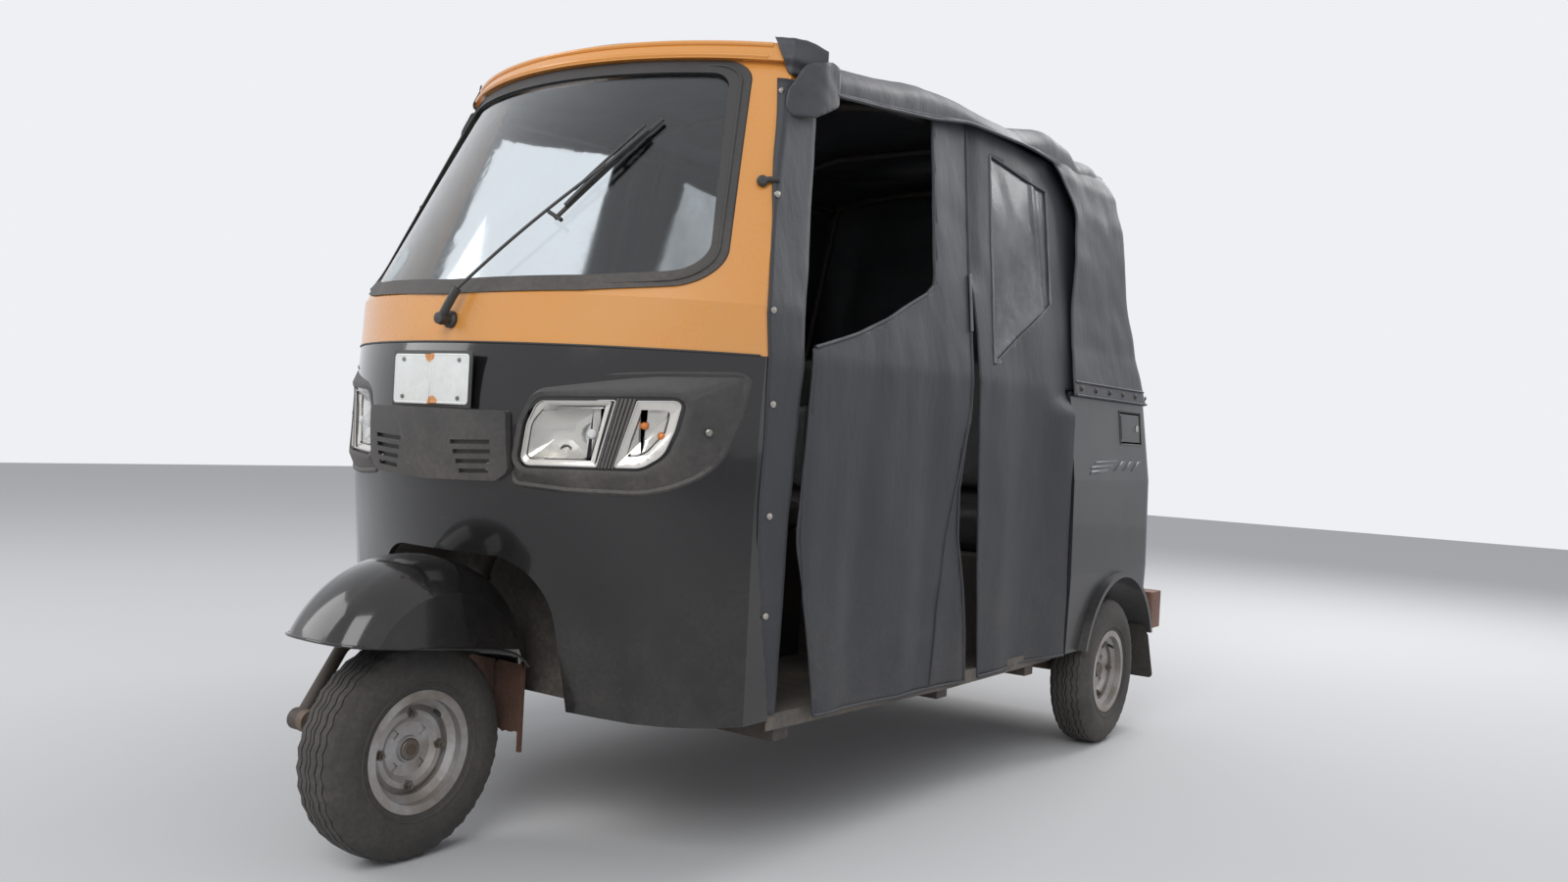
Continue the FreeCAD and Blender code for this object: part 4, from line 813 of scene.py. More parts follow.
# Number plate: thin white painted sheet, blank here, cracked down its middle and patched with
# orange tape at the crack's ends, in front of a black holder bolted to the cowl.
PLATE_X, PLATE_LOW, PLATE_HIGH = 0.107, 0.868, 0.964
PLATE_Y, PLATE_OFF = -1.0795, 0.008
plate_white, tree, shader = bare_look("plate white")
place = add(tree, "TexCoord").outputs["Object"]
tone = mixed(tree, placed(tree, patches, Scale=30.0, Contrast=1.6), (0.80, 0.82, 0.80),
    (0.66, 0.68, 0.66))
for spot in ((PLATE_OFF - 0.004, PLATE_Y, 0.961), (PLATE_OFF + 0.008, PLATE_Y, 0.870)):
    reach = add(tree, "VectorMath", {0: place, 1: spot}, operation="DISTANCE").outputs["Value"]
    ragged = sums(tree, "MULTIPLY", noised(tree, place, 120.0, 3.0), 0.012)
    taped = mapped(tree, sums(tree, "ADD", reach, ragged, False), 0.022, 0.019)
    tone = mixed(tree, taped, tone, (0.62, 0.24, 0.06))
tone = mixed(tree, placed(tree, dust, Low=0.86, High=1.0, Amount=0.35, Base=0.04), tone,
    (0.36, 0.31, 0.24))
feed(tree, shader, {"Base Color": tone, "Roughness": 0.35})
bm = bmesh.new()
for side in (1, -1):
    half = [(0.0008, PLATE_LOW, 0), (PLATE_X, PLATE_LOW, 0.008), (PLATE_X, PLATE_HIGH, 0.008),
        (0.0008, PLATE_HIGH, 0)]
    step_in(bm, add_face(bm, rounded(half)), [(0.0002, 0.0006), (0.0030, 0.0), (0.0015, -0.0006)])
    for vert in [vert for vert in bm.verts if vert.co.y > 0]:
        x, z, depth = vert.co
        bent = 0.0022 * math.exp(-((x / 0.02) ** 2)) * (1 if side > 0 else 0.3)
        vert.co = Vector((PLATE_OFF + side * x, PLATE_Y - depth - bent,
            z - (0.0015 if side < 0 else 0)))
plate = piece(bm, "number_plate_sheet", "body", plate_white, smooth=20,
    replaces=("number_plate",))
walled(plate, 0.0012)
bm = bmesh.new()
add_box(bm, (0.0075, -1.0755, 0.916), (0.227, 0.004, 0.108))
add_box(bm, (0, -1.06475, 0.917), (0.124, 0.0175, 0.066))
bevelled(bm, bm.edges[:], 0.0015, 2)
piece(bm, "number_plate_holder", "body", moulded)
bm = bmesh.new()
for x in (-0.080, 0.080):
    for z in (0.880, 0.952):
        at = (PLATE_OFF + x, PLATE_Y - 0.0005, z)
        add_turned(bm, [(0, 0), (0, 0.0042), (0.0020, 0.0038), (0.0026, 0)], at, (0, -1, 0), steps=12)
piece(bm, "number_plate_screws", "body", screw_steel)


# Inside the cab: a moulded dash shelf with a hooded gauge box, and a steel handlebar with
# rubber grips, two levers and a switch block. Small controls are fixed.
GAUGE_Z, GAUGE_Y = 0.997, -0.9615
dress(moulded, "dashboard")
gauge_face = finish("gauge face", (0.02, 0.02, 0.022), (0.05, 0.05, 0.05), 0.15, coat=0.6,
    patch=(20.0, 1.2))
grip_rubber = finish("grip rubber", (0.018, 0.018, 0.018), (0.04, 0.04, 0.04), 0.8,
    skin=(900.0, 0.3, 0.5))
bm = bmesh.new()
for x, radius in ((0.0, 0.030), (-0.062, 0.019), (0.062, 0.019)):
    add_turned(bm, [(0, 0), (0, radius), (0.005, radius), (0.006, radius * 0.92),
        (0.002, radius * 0.88), (0.002, 0)], (x, GAUGE_Y + 0.001, GAUGE_Z), (0, 0.98, 0.16), steps=32)
piece(bm, "gauge_faces", "body", gauge_face)

BAR_Y, BAR_Z = -0.7273, 0.999
GRIP_OUT, GRIP_IN = 0.314, 0.192
bm = bmesh.new()
for side in (1, -1):
    out = Vector((side * GRIP_OUT, BAR_Y + 0.041, BAR_Z))
    inner_end = Vector((side * GRIP_IN, BAR_Y + 0.0115, BAR_Z))
    rows = [(0, 0), (0, 0.018), (0.004, 0.0195)]
    for rib in range(11):
        at = rib * 0.0098
        rows += [(0.006 + at, 0.0185), (0.009 + at, 0.0172), (0.0125 + at, 0.0172)]
    rows += [(0.119, 0.0205), (0.124, 0.0205), (0.124, 0)]
    add_turned(bm, rows, out, inner_end - out, steps=28)
piece(bm, "handlebar_grips", "steering", grip_rubber)
bm = bmesh.new()
for side in (1, -1):
    block = Vector((side * 0.165, BAR_Y + 0.004, BAR_Z))
    bevelled(bm, add_box(bm, block, (0.044, 0.040, 0.046)), 0.006, 3)
    add_bar(bm, [block + Vector((0, -0.018, 0)), block + Vector((side * 0.02, -0.040, -0.002)),
        block + Vector((side * 0.135, -0.016, -0.008))], 0.0045)
piece(bm, "handlebar_levers", "steering", wiper_black)


# Canopy: one tailored cover of coated black fabric, faded bluish grey, stretched over three
# tube hoops. Its edge is rolled and piped, and it sags between the hoops.
vinyl, given, result, place = new_group("fabric_height", {"Scale": 900.0, "Crease": 1.0}, "Height")
threads = add(vinyl, "TexVoronoi", {"Vector": place, "Scale": given["Scale"]},
    feature="F1").outputs["Distance"]
values = {"Vector": place, "Scale": (1.0, 1.0, 0.35), "Rotation": (0.35, 0.0, 0.0)}
pulled = add(vinyl, "Mapping", values).outputs[0]
crease = sums(vinyl, "MULTIPLY", noised(vinyl, pulled, 11.0, 5.0, 0.55), given["Crease"], False)
threads = sums(vinyl, "MULTIPLY", threads, 0.03, False)
vinyl.links.new(sums(vinyl, "ADD", threads, crease, False), result)


def cloth_finish(name, color, faded, rough=0.55, crease=3.0, strength=0.35, dusty=(0.2, 0.7, 0.5, 0.04),
        patch=(2.5, 2.0)):
    look = finish(name, color, faded, rough, patch=patch, dusty=dusty, dust_color=(0.24, 0.21, 0.18))
    tree = look.node_tree
    relief = next(node for node in tree.nodes if node.bl_idname == "ShaderNodeBump")
    height = placed(tree, vinyl, Scale=900.0, Crease=crease)
    feed(tree, relief, {"Strength": strength, "Distance": 0.01, "Height": height})
    return look


canopy_vinyl = cloth_finish("canopy vinyl", (0.024, 0.026, 0.034), (0.058, 0.061, 0.075), crease=1.4,
    dusty=(1.4, 1.9, 0.1, 0.06))
piping_vinyl = finish("light piping", (0.20, 0.21, 0.23), (0.10, 0.105, 0.12), 0.6, patch=(12.0, 2.0))
# y, edge x and height, shoulder x and height, crown height
ROOF_LEVELS = [(-0.705, 0.484, 1.585, 0.468, 1.622, 1.648), (-0.480, 0.504, 1.554, 0.484, 1.622, 1.668),
    (-0.320, 0.508, 1.570, 0.488, 1.643, 1.684), (-0.080, 0.512, 1.598, 0.490, 1.678, 1.708),
    (0.110, 0.512, 1.632, 0.492, 1.686, 1.716), (0.420, 0.512, 1.646, 0.492, 1.690, 1.726),
    (0.500, 0.513, 1.646, 0.492, 1.704, 1.734), (0.615, 0.514, 1.640, 0.492, 1.728, 1.744),
    (0.740, 0.513, 1.620, 0.490, 1.722, 1.738), (0.815, 0.512, 1.606, 0.488, 1.694, 1.728),
    (0.930, 0.508, 1.606, 0.484, 1.706, 1.726), (1.030, 0.498, 1.612, 0.470, 1.696, 1.712)]
# share across one half where each point of a section lies, from the crown to the edge
ROOF_SHARES = (0.0, 0.70, 0.80, 0.88, 1.0)


def between(low, high, value):
    share = min(max((value - low) / (high - low), 0.0), 1.0)
    return share * share * (3 - 2 * share)


# A smooth run through four values, from the second to the third
def curved(t, a, b, c, d):
    return 0.5 * (2 * b + (c - a) * t + (2 * a - 5 * b + 4 * c - d) * t ** 2
        + (3 * b - a - 3 * c + d) * t ** 3)


def roof_point(y, across_):
    _, edge_x, edge_z, turn_x, turn_z, crown = blended(ROOF_LEVELS, y, held=True)
    points = [(0, crown), (turn_x - 0.040, turn_z + (crown - turn_z) * 0.2),
        (turn_x - 0.004, turn_z - 0.010), (edge_x - 0.003, turn_z - 0.034), (edge_x, edge_z)]
    reach = abs(across_)
    if reach < ROOF_SHARES[1]:
        share = reach / ROOF_SHARES[1]
        x = points[1][0] * share
        z = crown + (points[1][1] - crown) * share ** 2.4
    else:
        spot = next(index for index in (1, 2, 3) if reach <= ROOF_SHARES[index + 1] or index == 3)
        t = (reach - ROOF_SHARES[spot]) / (ROOF_SHARES[spot + 1] - ROOF_SHARES[spot])
        start, end, after = points[spot], points[spot + 1], points[min(spot + 2, 4)]
        before = points[spot - 1] if spot > 1 else (start[0] * 2 - end[0] - 0.03, start[1] + 0.006)
        x, z = [curved(t, *row) for row in zip(before, start, end, after)]
    return math.copysign(x, across_), z


# How far the cover sinks between its hoops, and how it wrinkles
def roof_sag(y, x):
    spans = [(-0.60, 0.0), (0.0, 0.640), (0.640, 0.985)]
    sag = sum(math.sin(math.pi * (y - low) / (high - low)) ** 2 for low,
        high in spans if low < y < high)
    return -0.004 * sag + (rippled(0.004, x * 3.0, y * 9.0, 1.7) + rippled(0.0015, x * 9, y * 16, 5.0))


# A grid whose points are moved by a rule from (0..1, 0..1) to their place
def shaped_grid(across_, along, rule):
    bm = bmesh.new()
    bmesh.ops.create_grid(bm, x_segments=across_, y_segments=along, size=1)
    for vert in bm.verts:
        vert.co = rule((vert.co.x + 1) / 2, (vert.co.y + 1) / 2)
    return bm


def cloth_piece(bm, name, look, thickness, replaces=()):
    return walled(piece(bm, name, "body", look, smooth=60, replaces=replaces), thickness)


def flat_area(bm):
    return sum(face.calc_area() for face in bm.faces)


def roof_rule(u, v):
    across_ = u * 2 - 1
    x, z = roof_point(0.0, across_)
    front = -0.007 - math.sqrt(0.702 ** 2 - min(abs(x), 0.450) ** 2)
    y = front + (1.046 - front) * v
    x, z = roof_point(y, across_)
    soft = between(1.0, 0.85, abs(across_))
    return Vector((x, y, z - 0.002 + roof_sag(y, x) * soft))


bm = shaped_grid(96, 150, roof_rule)
roof_area = flat_area(bm)
roof = cloth_piece(bm, "canopy_roof", canopy_vinyl, 0.003, replaces=("canopy",))
bm = bmesh.new()
for side in (1, -1):
    out = Vector((side * 0.001, 0, 0))
    add_bar(bm, [roof_rule(0.5 + side * 0.5, step / 40) + out for step in range(41)], 0.0045)
piece(bm, "canopy_roof_hem", "body", canopy_vinyl)
bm = bmesh.new()
for side in (1, -1):
    out = Vector((side * 0.002, 0, 0))
    add_bar(bm, [roof_rule(0.5 + side * 0.488, step / 40) + out for step in range(41)], 0.0016)
add_bar(bm, [roof_rule(step / 40, 0.0) + Vector((0, 0.002, 0.001)) for step in range(5, 36)], 0.0028)
add_bar(bm, [roof_rule(step / 40, 1.0) + Vector((0, 0.001, 0.001)) for step in range(3, 38)], 0.0030)
piece(bm, "canopy_piping", "body", piping_vinyl)


# Hood: the canopy's rear cover, laced round the last hoop and strapped down over the body. It
# is slack, creased across its back, and a hem band with dark studs holds its lower edge.
# height, half width, rear y, corner radius
HOOD_LEVELS = [(0.990, 0.624, 1.248, 0.098), (1.130, 0.592, 1.208, 0.100), (1.257, 0.576, 1.184, 0.100),
    (1.390, 0.564, 1.172, 0.105), (1.516, 0.548, 1.176, 0.110), (1.610, 0.528, 1.162, 0.115),
    (1.665, 0.500, 1.128, 0.115), (1.700, 0.455, 1.070, 0.110), (1.706, 0.380, 0.970, 0.110)]


# The front edge leans back as it rises, then swings forward into the roof's rolled edge
def hood_front(z):
    return 0.600 + 0.235 * (z - 0.99) - 0.15 * between(1.46, 1.66, z) ** 2


# Round the hood at one height: 0 is the left front edge, 1 the right front edge
def hood_point(u, z):
    _, half, rear, corner = blended(HOOD_LEVELS, z, held=True)
    start = hood_front(z)
    side_run = rear - corner - start
    turn = corner * math.pi / 2
    back = half - corner
    whole = side_run + turn + back
    far = min(u, 1 - u) * 2 * whole
    if far < side_run:
        x, y, away = half, start + far, Vector((1, 0, 0))
    elif far < side_run + turn:
        angle = (far - side_run) / corner
        away = Vector((math.cos(angle), math.sin(angle), 0))
        x, y = half - corner + away.x * corner, rear - corner + away.y * corner
    else:
        x, y, away = half - corner - (far - side_run - turn), rear, Vector((0, 1, 0))
    if u > 0.5:
        x, away.x = -x, -away.x
    return Vector((x, y, z)), away


def hood_rule(u, v):
    z = HOOD_LEVELS[0][0] + (HOOD_LEVELS[-1][0] - HOOD_LEVELS[0][0]) * v
    spot, away = hood_point(u, z)
    free = between(0.0, 0.12, v) * between(1.0, 0.9, v)
    slack = rippled(0.006, spot.x * 2.2, spot.y * 2.2, z * 6) + rippled(0.0035, *(spot * 13))
    slack += 0.0040 * math.sin(z * 34 + 3 * spot.x) * between(0.55, 0.95, v)
    spot += away * (slack * free - 0.0015)
    if spot.y < 1.03:
        spot.z = min(spot.z, roof_point(spot.y, spot.x / 0.50 * 0.72)[1] - 0.004)
    return spot


bm = shaped_grid(150, 72, hood_rule)
hood_area = flat_area(bm)
hood = cloth_piece(bm, "canopy_hood", canopy_vinyl, 0.003)

stud_dark = finish("dark studs", (0.05, 0.048, 0.045), (0.12, 0.09, 0.06), 0.4, metallic=0.8,
    patch=(40.0, 2.0))
bm = bmesh.new()
for z in (0.993, 1.030):
    ring = [hood_point(0.003 + 0.994 * step / 120, z) for step in range(121)]
    add_bar(bm, [spot + away * 0.001 for spot, away in ring], 0.0026)
for edge in (0, 1):
    add_bar(bm, [hood_rule(edge, step / 30) for step in range(31)], 0.0035)
piece(bm, "canopy_hood_hem", "body", canopy_vinyl)
bm = bmesh.new()
for step in range(23):
    spot, away = hood_point(0.02 + 0.96 * step / 22, 1.012)
    add_turned(bm, [(0, 0), (0, 0.0075), (0.002, 0.0070), (0.0045, 0.0040), (0.0050, 0)], spot, away,
        steps=12)
piece(bm, "canopy_hood_studs", "body", stud_dark)


# Side curtains: vinyl panels hung from the roof's edge and strapped at the sills, with hemmed
# edges and soft upright folds. The rear one has a clear window sewn in.
# height, then x at the door jamb, the middle post and the rear
SHEET_LEVELS = [(0.270, 0.582, 0.603, 0.607), (1.000, 0.584, 0.603, 0.607),
    (1.610, 0.496, 0.497, 0.499)]
JAMB_Y, REAR_Y = -0.660, 0.700
CLOTH_IN = 0.0035


def sheet_x(y, z):
    _, jamb, post, rear = blended(SHEET_LEVELS, z)
    if y < 0:
        return jamb + (post - jamb) * (y - JAMB_Y) / -JAMB_Y
    return post + (rear - post) * y / REAR_Y


# Cuts a flat panel in (y, z), with a hole if one is given, and crosses it with a fine grid
def cut_panel(outline_rows, hole_rows=(), step=0.016):
    bm = bmesh.new()
    for rows in (outline_rows, hole_rows):
        if rows:
            add_face(bm, rounded(rows, 5))
    bmesh.ops.delete(bm, geom=bm.faces[:], context="FACES_ONLY")
    bmesh.ops.triangle_fill(bm, edges=bm.edges[:], use_beauty=True)
    for axis in (0, 1):
        low, high = min(v.co[axis] for v in bm.verts), max(v.co[axis] for v in bm.verts)
        normal = Vector((1 - axis, axis, 0))
        for cut in range(1, int((high - low) / step) + 1):
            bmesh.ops.bisect_plane(bm, geom=bm.verts[:] + bm.edges[:] + bm.faces[:], dist=1e-6,
                plane_co=normal * (low + cut * step), plane_no=normal)
    return bm


def edge_hem(name, points, radius, look=None):
    bm = bmesh.new()
    for side in (1, -1):
        add_bar(bm, [Vector((side * x, y, z)) for x, y, z in points], radius)
    return piece(bm, name, "body", look or curtain_vinyl)


curtain_vinyl = cloth_finish("curtain vinyl", (0.016, 0.018, 0.024), (0.036, 0.040, 0.048), crease=1.2,
    dusty=(0.2, 0.75, 0.28, 0.035), patch=(1.6, 2.2))
FRONT_PANEL = [(-0.562, 0.285, 0), (-0.572, 0.350, 0), (-0.648, 0.640, 0.160), (-0.622, 1.019, 0.02),
    (-0.460, 1.062, 0.06), (-0.337, 1.104, 0.06), (-0.112, 1.200, 0.06), (-0.046, 1.626, 0),
    (0.134, 1.650, 0), (0.066, 1.250, 0), (0.026, 1.010, 0), (0.030, 0.900, 0.04),
    (-0.022, 0.790, 0.06), (-0.010, 0.640, 0.09), (0.020, 0.500, 0), (0.056, 0.277, 0)]
REAR_PANEL = [(0.140, 0.277, 0), (0.116, 0.500, 0), (0.082, 0.800, 0), (0.064, 1.010, 0),
    (0.075, 1.110, 0.05), (0.066, 1.290, 0.02), (0.122, 1.650, 0), (0.815, 1.640, 0), (0.680, 1.004, 0),
    (0.578, 1.004, 0), (0.578, 0.287, 0)]
WINDOW = [(0.250, 1.580, 0.018), (0.586, 1.548, 0.018), (0.548, 1.232, 0.018), (0.153, 1.044, 0.018)]


# Where the front curtain's rear hem runs, which the rear one hangs behind above the strip
def seam_y(z):
    return 0.066 + 0.17 * (z - 1.25)


# Upright folds, deeper towards the free lower edge
def front_fold(y, z):
    low = between(1.25, 0.35, z)
    upright = math.sin(y * 21 + z * 1.8) * 0.005 + math.sin(y * 47 - z * 2.5 + 1) * 0.002
    pull = rippled(0.004, y * 5, z * 3.2, 2.0) + rippled(0.0015, y * 14, z * 12, 4.0)
    return (upright * (0.35 + 0.65 * low)) * (0.6 + 0.4 * low) + pull


def rear_fold(y, z):
    low = between(1.30, 0.30, z)
    upright = math.sin(y * 30 + z * 1.2) * 0.004 + math.sin(y * 12 - z * 2 + 1) * 0.003
    pull = rippled(0.004, y * 6, z * 2.6, 9.0) + rippled(0.0015, y * 15, z * 10, 6.0)
    held = between(0.69, 0.60, y) if z > 1.0 else 1.0
    flare = 0.0345 * between(0.42, 0.575, y) * between(1.0, 0.93, z)
    flare -= 0.010 * between(1.20, 1.27, z) * between(0.07, 0.0, y - seam_y(z))
    return (upright * (0.3 + 0.7 * low) + pull) * (0.3 + 0.7 * held) + flare


for name, rows, hole, fold, node, flat in (
        ("front_curtain", FRONT_PANEL, (), front_fold, "front_curtains", (0.785, 1.380)),
        ("rear_curtain", REAR_PANEL, WINDOW, rear_fold, "rear_curtains", (0.755, 1.380))):
    for side_name, side in SIDES:
        bm = cut_panel(rows, hole)
        cut_area = flat_area(bm)
        for vert in bm.verts:
            y, z = vert.co.x, vert.co.y
            vert.co = Vector((side * (sheet_x(y, z) - CLOTH_IN + fold(y, z)), y, z))
        made = cloth_piece(bm, name + "_" + side_name, curtain_vinyl, 0.0024)
        if side > 0:
            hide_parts(node)


def on_sheet(points, fold, proud=0.0):
    return [(sheet_x(y, z) - CLOTH_IN + fold(y, z) + proud, y, z) for y, z in points]


def run_between(corners, count):
    run = []
    for a, b in zip(corners, corners[1:]):
        for step in range(count):
            run.append((a[0] + (b[0] - a[0]) * step / count, a[1] + (b[1] - a[1]) * step / count))
    return run + [corners[-1]]


# hems and seams: name, sheet, radius, then (y, z) points
HEMS = (
    ("front_curtain_top_hem", front_fold, 0.0042, [(-0.618, 1.018), (-0.525, 1.041), (-0.460, 1.058),
     (-0.400, 1.078), (-0.337, 1.101), (-0.240, 1.143), (-0.160, 1.176), (-0.124, 1.199),
     (-0.112, 1.225), (-0.100, 1.300), (-0.048, 1.620)]),
    ("front_curtain_edge_hem", front_fold, 0.0035, [(-0.562, 0.287), (-0.572, 0.350), (-0.617, 0.520),
     (-0.6335, 0.640), (-0.636, 0.760), (-0.622, 1.015)]),
    ("front_curtain_low_hem", front_fold, 0.0035, [(-0.560, 0.288), (0.054, 0.280)]),
    ("front_curtain_rear_hem", front_fold, 0.0035, [(0.056, 0.280), (0.020, 0.500), (-0.008, 0.620),
     (-0.014, 0.740), (0.006, 0.850), (0.026, 0.930), (0.026, 1.010), (0.066, 1.250), (0.132, 1.640)]),
    ("rear_curtain_front_hem", rear_fold, 0.0035, [(0.141, 0.280), (0.116, 0.500), (0.083, 0.800),
     (0.067, 1.000), (0.075, 1.110), (0.070, 1.240)]),
    ("rear_curtain_low_hem", rear_fold, 0.0035, [(0.142, 0.279), (0.576, 0.289)]))
for name, fold, radius, points in HEMS:
    edge_hem(name, on_sheet(run_between(points, 12), fold), radius)
OVERLAP = [(0.010, 0.880), (-0.060, 0.620), (-0.085, 0.460), (-0.095, 0.290)]
edge_hem("front_curtain_overlap", on_sheet(run_between(OVERLAP, 10), front_fold, 0.001), 0.003)
GAP_STRIP = [(0.062, 1.251), (0.047, 1.17), (0.038, 1.112)]
edge_hem("curtain_gap_strip", on_sheet(GAP_STRIP, front_fold, 0.005), 0.0035, look=piping_vinyl)

clear_vinyl, tree, shader = bare_look("cloudy clear vinyl")
cloudy = placed(tree, patches, Scale=7.0, Contrast=2.6)
low_cloud = placed(tree, dust, Low=1.10, High=1.35, Amount=0.6, Base=0.10)
tone = mixed(tree, cloudy, (0.10, 0.105, 0.12), (0.20, 0.205, 0.22))
veil = sums(tree, "ADD", sums(tree, "MULTIPLY", cloudy, 0.25), low_cloud)
feed(tree, shader, {"Base Color": mixed(tree, low_cloud, tone, (0.36, 0.37, 0.40)), "Roughness": 0.22,
    "Alpha": mapped(tree, veil, 0.0, 1.0, 0.28, 0.95)})
# how far each corner of the clear sheet lies outside the window it is sewn behind
WINDOW_LAP = ((-0.012, 0.012), (0.012, 0.012), (0.012, -0.006), (-0.010, -0.016))
for side_name, side in SIDES:
    bm = cut_panel([(y + lap_y, z + lap_z, radius) for (y, z, radius),
        (lap_y, lap_z) in zip(WINDOW, WINDOW_LAP)], step=0.012)
    cut_area = flat_area(bm)
    for vert in bm.verts:
        y, z = vert.co.x, vert.co.y
        ridge = (y - 0.50 + (1.40 - z) * 0.06) / 0.018
        buckle = 0.004 * math.exp(-ridge ** 2) * between(1.05, 1.2, z)
        vert.co = Vector((side * (sheet_x(y, z) - CLOTH_IN - 0.0035 + rear_fold(y, z) + buckle), y, z))
    made = cloth_piece(bm, "curtain_window_" + side_name, clear_vinyl, 0.0008)
    if side > 0:
        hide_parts("curtain_windows")
border = [(y, z) for y, z, _ in WINDOW + WINDOW[:1]]
for name, corner, look in (("top", 0, curtain_vinyl), ("rear", 1, piping_vinyl),
        ("low", 2, curtain_vinyl), ("front", 3, piping_vinyl)):
    line = on_sheet(run_between(border[corner:corner + 2], 12), rear_fold, 0.0005)
    edge_hem("curtain_window_binding_" + name, line, 0.0032, look)


# Pillar flaps: vinyl strips snapped to the cab's sides in front of the door openings, with
# bright press studs down their front edge and a hook for the door stay.
FLAP_LEVELS = [(0.300, -0.742, -0.655), (0.690, -0.762, -0.668), (1.076, -0.766, -0.645),
    (1.306, -0.7034, -0.578), (1.560, -0.6145, -0.502)]
FLAP_SNAPS = [(-0.620, 1.5303), (-0.6965, 1.306), (-0.752, 1.076), (-0.746, 0.900), (-0.732, 0.689),
    (-0.717, 0.498), (-0.707, 0.357)]


# How far out the cab's skin is: flat along its side, round past the corner
def cab_skin(y, z):
    reach = CAB_R - (y - cab_front(0, z).y)
    return min(cab_side(z), math.sqrt(max(CAB_R ** 2 - reach ** 2, 0.0)))


def flap_rule(side):
    def rule(u, v):
        z = FLAP_LEVELS[0][0] + (FLAP_LEVELS[-1][0] - FLAP_LEVELS[0][0]) * v
        _, front, rear = blended(FLAP_LEVELS, z)
        y = front + (rear - front) * u + rippled(0.003, 1, z * 9, u)
        wave = 0.0018 * (1 + rippled(1, u * 2, z * 14, 3.0)) * between(0.1, 0.9, u) + 0.0022
        return Vector((side * (cab_skin(y, z) + wave), y, z))
    return rule


for side_name, side in SIDES:
    bm = shaped_grid(10, 90, flap_rule(side))
    cut_area = flat_area(bm)
    made = cloth_piece(bm, "pillar_flap_" + side_name, curtain_vinyl, 0.0022)
    if side > 0:
        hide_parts("pillar_flaps")
snap_steel = finish("snap steel", (0.55, 0.53, 0.50), (0.30, 0.26, 0.22), 0.35, metallic=0.9,
    patch=(60.0, 2.0))
bm = bmesh.new()
for side in (1, -1):
    for y, z in FLAP_SNAPS:
        add_turned(bm, [(0, 0), (0, 0.0068), (0.0020, 0.0062), (0.0035, 0.0035), (0.0038, 0)],
            (side * (cab_skin(y, z) + 0.004), y, z), (side, -0.35, 0), steps=14)
piece(bm, "pillar_flap_snaps", "body", snap_steel)


# Canopy corners: a folded pad of the same vinyl over each front corner, where the cover is
# tied down to the cab, and a flap of it tucked round the end of the roof lip.
CORNER_PAD = [(-0.630, 1.478, 0.020), (-0.618, 1.535, 0.030), (-0.580, 1.592, 0.025),
    (-0.500, 1.614, 0.020), (-0.468, 1.606, 0.014), (-0.470, 1.530, 0.025), (-0.555, 1.488, 0.030)]


def wrap_rule(side):
    def rule(u, v):
        z = 1.572 + 0.074 * v
        skin_z = min(z, 1.636)
        proud = 0.006 + 0.0175 * between(1.585, 1.602, z)
        corner = cab_front(cab_side(skin_z) * 0.9999, skin_z, proud)
        first = 0.4665 - 0.044 * v ** 0.8
        if u < 0.4:
            spot = cab_front(first + (cab_side(skin_z) * 0.9999 - first) * u / 0.4, skin_z, proud)
        else:
            spot = corner.lerp(Vector((0.500, -0.505, z)), (u - 0.4) / 0.6)
        spot.z = z - 0.010 * between(0.7, 1.0, u) + rippled(0.002, u * 6, v * 3, 2.0)
        spot.x *= side
        return spot
    return rule


for side_name, side in SIDES:
    bm = cut_panel(CORNER_PAD, step=0.010)
    pad_area = flat_area(bm)
    for vert in bm.verts:
        y, z = vert.co.x, vert.co.y
        fold = 0.006 * math.sin(math.pi * between(-0.64, -0.46, y))
        lean = 0.040 * (1.60 - z) * between(-0.60, -0.50, y)
        crumple = rippled(0.003, y * 30, z * 30, 1.0) + fold
        out = 0.486 + 0.022 * between(-0.632, -0.520, y) + lean + crumple
        vert.co = Vector((side * out, y, z))
    made = cloth_piece(bm, "canopy_corner_pad_" + side_name, canopy_vinyl, 0.004)
    bm = shaped_grid(36, 12, wrap_rule(side))
    wrap_area = flat_area(bm)
    made = cloth_piece(bm, "canopy_corner_wrap_" + side_name, canopy_vinyl, 0.003)

# a catch for the door stay pokes forward from each flap's edge
bm = bmesh.new()
for side in (1, -1):
    add_on_cab(bm, [(0, 0), (0, 0.0095), (0.003, 0.0110), (0.010, 0.0105), (0.013, 0.007), (0.0135, 0)],
        side * 0.4940, 1.331, 0.002, 20)
    stem = ((0.4940, 1.333), (0.504, 1.336), (0.515, 1.337))
    add_bar(bm, [cab_front(side * x, z, 0.007) for x, z in stem], 0.0058)
piece(bm, "door_stay_catches", "body", wiper_black)


# Seats: foam cushions in black vinyl on a steel box for the driver and a bench for passengers.
# Each swells between its piped edges, with sewn channels across it, and is flat underneath.
seat_vinyl = cloth_finish("seat vinyl", (0.024, 0.024, 0.026), (0.060, 0.058, 0.058), 0.45, crease=2.0,
    strength=0.25, dusty=(0.4, 1.0, 0.3, 0.05))
SWELL_CAP = 0.012
CHANNEL_HALF, CHANNEL_DEEP = 0.010, 0.012
# name, low corner, high corner, sewn channels along x, direction the cushion rests towards
CUSHIONS = (("driver_cushion", (-0.231, -0.404, 0.6085), (0.231, -0.068, 0.684), (), (0, 0, -1)),
    ("driver_backrest", (-0.221, -0.080, 0.704), (0.221, -0.0425, 0.926), (), (0, 1, 0)),
    ("bench_cushion", (-0.544, 0.318, 0.5625), (0.544, 0.738, 0.690), (-0.18, 0.18), (0, 0, -1)),
    ("bench_backrest", (-0.536, 0.752, 0.694), (0.536, 0.812, 1.114), (-0.18, 0.18), (0, 1, 0)))


